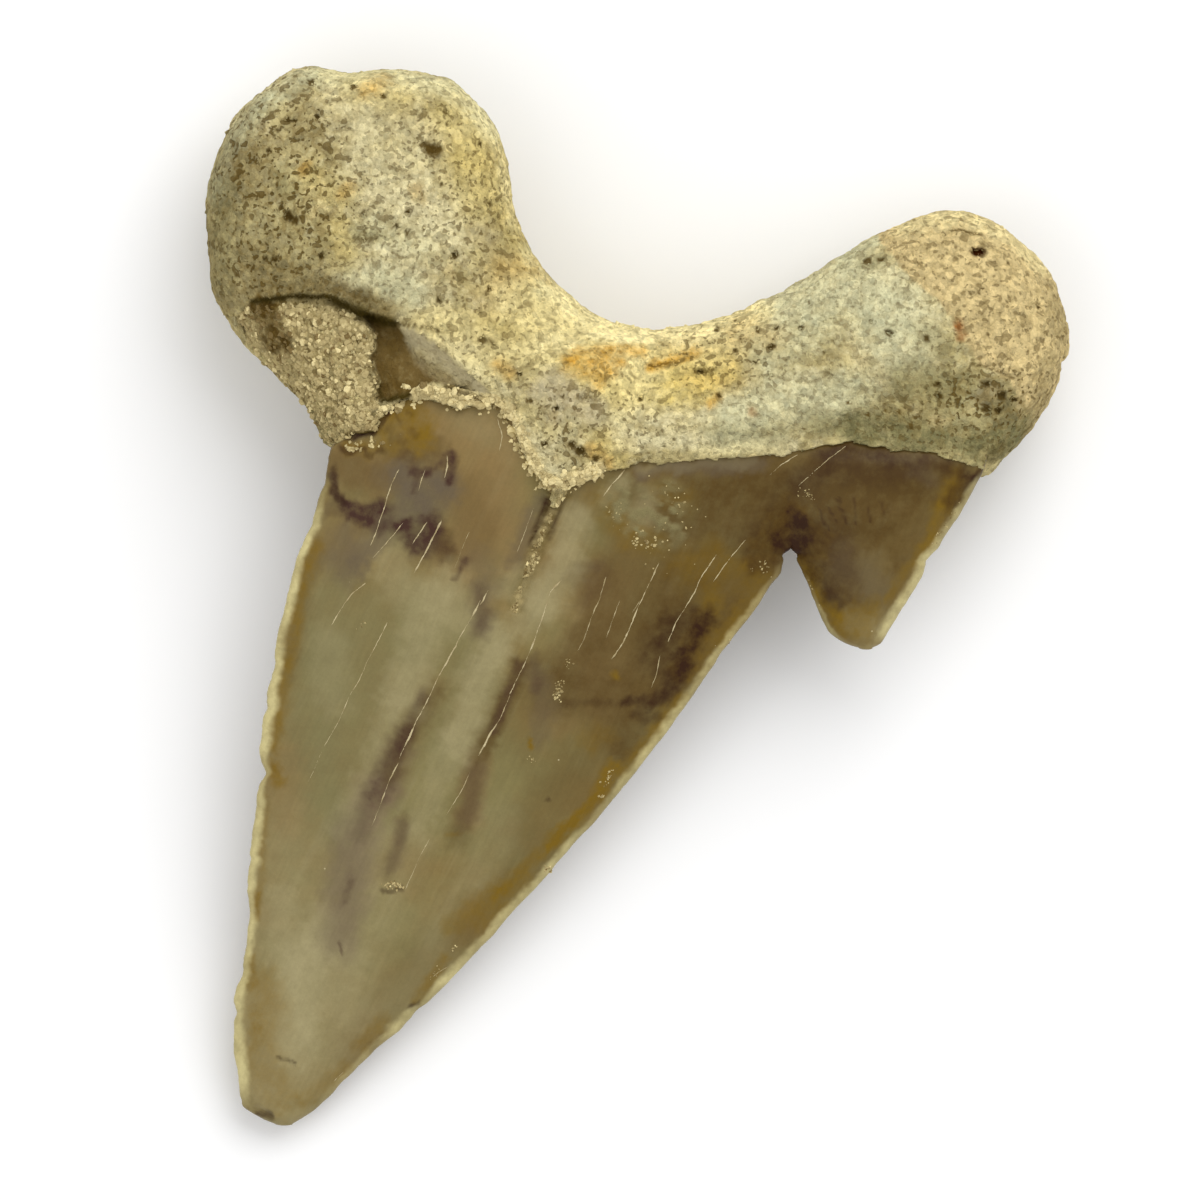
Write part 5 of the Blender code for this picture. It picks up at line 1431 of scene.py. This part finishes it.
class FossilToothColours(PropertyGroup):
    bone: tint("Bone", "The root's main colour", 201, 186, 132)
    bone_dark: tint("Dark bone", "The root's duller patches", 166, 151, 102)
    # Also painted light along the lobes' top edges.
    bone_mist: tint("Misty bone", "The root's grey-green pale patches", 200, 198, 158)
    # Also painted light along the lobes' top edges and a painted highlight on the root's edge over the seam.
    bone_pale: tint("Pale bone", "The root's bleached patches", 228, 217, 170)
    # Painted shade in the gaps between the bone's coarse grains.
    bone_gap_shade: tint("Gaps in bone", "The gaps between the bone's coarse grains", 128, 106, 54)
    # Painted shade where the root's sides and edges turn away from the light.
    bone_painted_shade: tint("Dull bone", "Old dirt in the bone around the root's edges", 122, 108, 70)
    yellow: tint("Golden bone", "Golden patches under the arch and on the large lobe", 220, 197, 118)
    # Painted light on the lit inner rim, the lobes' top edges and the root's edge over the seam.
    painted_light: tint("Yellow bone", "The warm cream along the root's inner rim", 248, 233, 172)
    green: tint("Green bone", "The grey-green coating of the small lobe", 128, 122, 82)
    tan: tint("Tan bone", "The small lobe's bare tip", 210, 188, 134)
    orange: tint("Orange stain", "Iron stain under the arch", 206, 160, 68)
    lilac: tint("Lilac bone", "Smooth lilac-grey patches of the root", 180, 168, 134)
    rust: tint("Rust", "The red spot at the coating's edge", 142, 96, 50)
    # Brown dirt, and painted shadow under the ledge and along the root's edge.
    dirt_and_shadow: tint("Dirt", "Brown dirt in the root's steps and hollows", 88, 68, 28)
    pore: tint("Pore", "The inside of the root's pores", 92, 72, 28)
    # Painted shadow under the flaked-off edges.
    crevice_shadow: tint("Crevice Shade", "The dark gaps under the flaked-off edges", 64, 52, 14)
    vein: tint("Vein hole", "The inside of the hole in the small lobe", 84, 42, 10)
    hollow: tint("Smooth hollow", "The brown floor of the flaked-off hollow", 108, 88, 48)
    sliver: tint("Broken bone", "The broken face beside the hollow", 168, 156, 120)
    sand: tint("Sand", "Sand grains of middle tone", 174, 157, 109)
    sand_dark: tint("Dark sand", "The darkest sand grains", 112, 92, 50)
    cream: tint("Cream sand", "The palest sand grains and the crumbling edge", 226, 209, 154)
    enamel: tint("Enamel", "The enamel's main colour", 121, 102, 58)
    enamel_olive: tint("Olive enamel", "The enamel's greener parts", 120, 110, 68)
    enamel_brown: tint("Brown enamel", "The brown half of the crown", 82, 62, 24)
    enamel_rosy: tint("Rosy enamel", "The redder brown parts under the root", 128, 104, 63)
    enamel_mauve: tint("Mauve enamel", "The soft grey-purple bands down the blade", 109, 91, 67)
    enamel_moss: tint("Moss enamel", "The greenest parts beside the left cutting edge", 116, 110, 72)
    # Also painted shadow just below the root's edge and in the fissure.
    enamel_umber: tint("Umber stain", "The darkest brown stains", 48, 24, 2)
    enamel_purple: tint("Purple stain", "The dark purple stains", 62, 38, 27)
    enamel_grey: tint("Grey enamel", "The lilac-grey clouds between the stains", 95, 82, 62)
    # Also painted sheen down the blade's left middle.
    enamel_pale: tint("Pale enamel", "The pale bands and the bleached tip", 152, 141, 102)
    enamel_ochre: tint("Ochre stain", "Ochre stains along the cutting edges", 114, 88, 16)
    enamel_rim: tint("Enamel rim", "The thin pale cutting edges", 192, 180, 128)
    enamel_crust: tint("Crust", "The grey-green crust on the crown", 124, 114, 76)
    mineral: tint("Mineral", "Pale mineral in the enamel's cracks", 194, 180, 140)
    mineral_dull: tint("Dull mineral", "Duller mineral in the cracks", 152, 134, 92)


def factor(name, description, low, high):
    return FloatProperty(name=name, description=f"{description}, against the usual", default=1.0, min=low, max=high)


def length(name, description, usual, low):
    return FloatProperty(name=name, description=description, default=usual, min=low, unit="LENGTH")


class FossilToothSizes(PropertyGroup):
    grit: factor("Grit", "How rough the bone is", 0, 3)
    pore_depth: factor("Pore depth", "How deep the pores are", 0, 2)
    seam_step: factor("Seam step", "How high the root's edge stands on the enamel", 0, 2)
    sand_amount: factor("Sand", "How much sand there is", 0.1, 1.2)
    floor_width: length("Floor", "Width of the floor", 1.6, 0.2)
    camera_height: length("Camera height", "How far the camera is above the tooth", 1.0, 0.2)
    view_width: length("View width", "Width of what the camera sees at the tooth", 0.06, 0.01)


def ready_material(name, build):
    return bpy.data.materials.get(name) or build(bpy.context.scene.fossil_tooth_colours)


class FOSSIL_TOOTH_OT_root(Operator):
    """Build the porous two-lobed root"""

    bl_idname = "fossil_tooth.root"
    bl_label = "Root"

    def execute(self, context):
        sizes = context.scene.fossil_tooth_sizes
        material = ready_material("fossil bone", bone_material)
        finish_piece(build_root(sizes), material)
        build_grit(sizes, material)
        return {"FINISHED"}


class FOSSIL_TOOTH_OT_blades(Operator):
    """Build the enamel crown and its side cusplet"""

    bl_idname = "fossil_tooth.blades"
    bl_label = "Crown and Cusplet"

    def execute(self, context):
        material = ready_material("fossil enamel", enamel_material)
        finish_piece(build_blade("crown", CROWN_NICKS, CROWN_COUNTS), material)
        finish_piece(build_blade("cusplet", CUSPLET_NICKS, CUSPLET_COUNTS), material)
        return {"FINISHED"}


class FOSSIL_TOOTH_OT_crack_fillings(Operator):
    """Lay pale mineral in the enamel's hairline cracks"""

    bl_idname = "fossil_tooth.crack_fillings"
    bl_label = "Crack Fillings"

    def execute(self, context):
        build_crack_fillings(ready_material("crack mineral", mineral_material))
        return {"FINISHED"}


class FOSSIL_TOOTH_OT_sand(Operator):
    """Stick sand to the root, the seam and the cracks"""

    bl_idname = "fossil_tooth.sand"
    bl_label = "Sand"

    def execute(self, context):
        build_sand(context.scene.fossil_tooth_sizes, ready_material("sand grains", sand_material))
        return {"FINISHED"}


class FOSSIL_TOOTH_OT_stage(Operator):
    """Set up the pale floor, the soft studio light and the camera"""

    bl_idname = "fossil_tooth.stage"
    bl_label = "Floor, Light and Camera"

    def execute(self, context):
        build_stage(context.scene.fossil_tooth_sizes)
        return {"FINISHED"}


class FOSSIL_TOOTH_PT_panel(Panel):
    bl_label = "Fossil Shark Tooth"
    bl_idname = "FOSSIL_TOOTH_PT_panel"
    bl_space_type = "VIEW_3D"
    bl_region_type = "UI"
    bl_category = "Fossil Tooth"

    def draw(self, context):
        layout = self.layout
        for operator in OPERATORS:
            layout.operator(operator.bl_idname)
        for settings in (context.scene.fossil_tooth_sizes, context.scene.fossil_tooth_colours):
            column = layout.column()
            for name in settings.__annotations__:
                column.prop(settings, name)


OPERATORS = (
    FOSSIL_TOOTH_OT_root,
    FOSSIL_TOOTH_OT_blades,
    FOSSIL_TOOTH_OT_crack_fillings,
    FOSSIL_TOOTH_OT_sand,
    FOSSIL_TOOTH_OT_stage,
)
CLASSES = (FossilToothColours, FossilToothSizes, *OPERATORS, FOSSIL_TOOTH_PT_panel)


def build_stage(sizes):
    half = sizes.floor_width / 2
    corners = [(x * half, y * half, FLOOR_HEIGHT) for x, y in ((-1, -1), (1, -1), (1, 1), (-1, 1))]
    floor = mesh_object("floor", corners, [(0, 1, 2, 3)])
    material, _, shader = new_material("pale floor", 0.95, 0.1)
    shader.inputs["Base Color"].default_value = (0.9, 0.9, 0.9, 1)
    floor.data.materials.append(material)
    floor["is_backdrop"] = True

    world = bpy.data.worlds.new("studio")
    world.use_nodes = True
    background = world.node_tree.nodes["Background"].inputs
    background["Color"].default_value = (1.0, 1.0, 1.0, 1)
    background["Strength"].default_value = 0.76
    bpy.context.scene.world = world
    for name, place, width, power in (
        ("key light", (0.20, 0.34, 0.46), 0.50, 2.2),
        ("fill light", (-0.30, -0.20, 0.50), 0.50, 0.6),
    ):
        lamp = bpy.data.lights.new(name, "AREA")
        lamp.size, lamp.energy = width, power
        light = bpy.data.objects.new(name, lamp)
        light.location = place
        light.rotation_mode = "QUATERNION"
        light.rotation_quaternion = (-Vector(place)).to_track_quat("-Z", "Y")
        bpy.context.scene.collection.objects.link(light)

    camera_data = bpy.data.cameras.new("camera")
    camera_data.sensor_width = 36.0
    camera_data.lens = camera_data.sensor_width * sizes.camera_height / sizes.view_width
    camera = bpy.data.objects.new("camera", camera_data)
    tooth_height = 0.005  # metres, about half way up
    camera.location = (*(off_map(VIEW_MIDDLE) * MM), sizes.camera_height + tooth_height)
    bpy.context.scene.collection.objects.link(camera)
    bpy.context.scene.camera = camera
    bpy.context.scene.view_settings.view_transform = "Standard"


def register():
    for item in CLASSES:
        bpy.utils.register_class(item)
    bpy.types.Scene.fossil_tooth_colours = PointerProperty(type=FossilToothColours)
    bpy.types.Scene.fossil_tooth_sizes = PointerProperty(type=FossilToothSizes)


def unregister():
    del bpy.types.Scene.fossil_tooth_sizes
    del bpy.types.Scene.fossil_tooth_colours
    for item in reversed(CLASSES):
        bpy.utils.unregister_class(item)


def main():
    register()
    bpy.ops.fossil_tooth.root()
    bpy.ops.fossil_tooth.blades()
    bpy.ops.fossil_tooth.crack_fillings()
    bpy.ops.fossil_tooth.sand()
    bpy.ops.fossil_tooth.stage()
    boxes = {"cad": CAD_BOX, "visual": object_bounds()}
    {name: [list(corner) for corner in box] for name, box in boxes.items()}


if __name__ == "__main__":
    main()
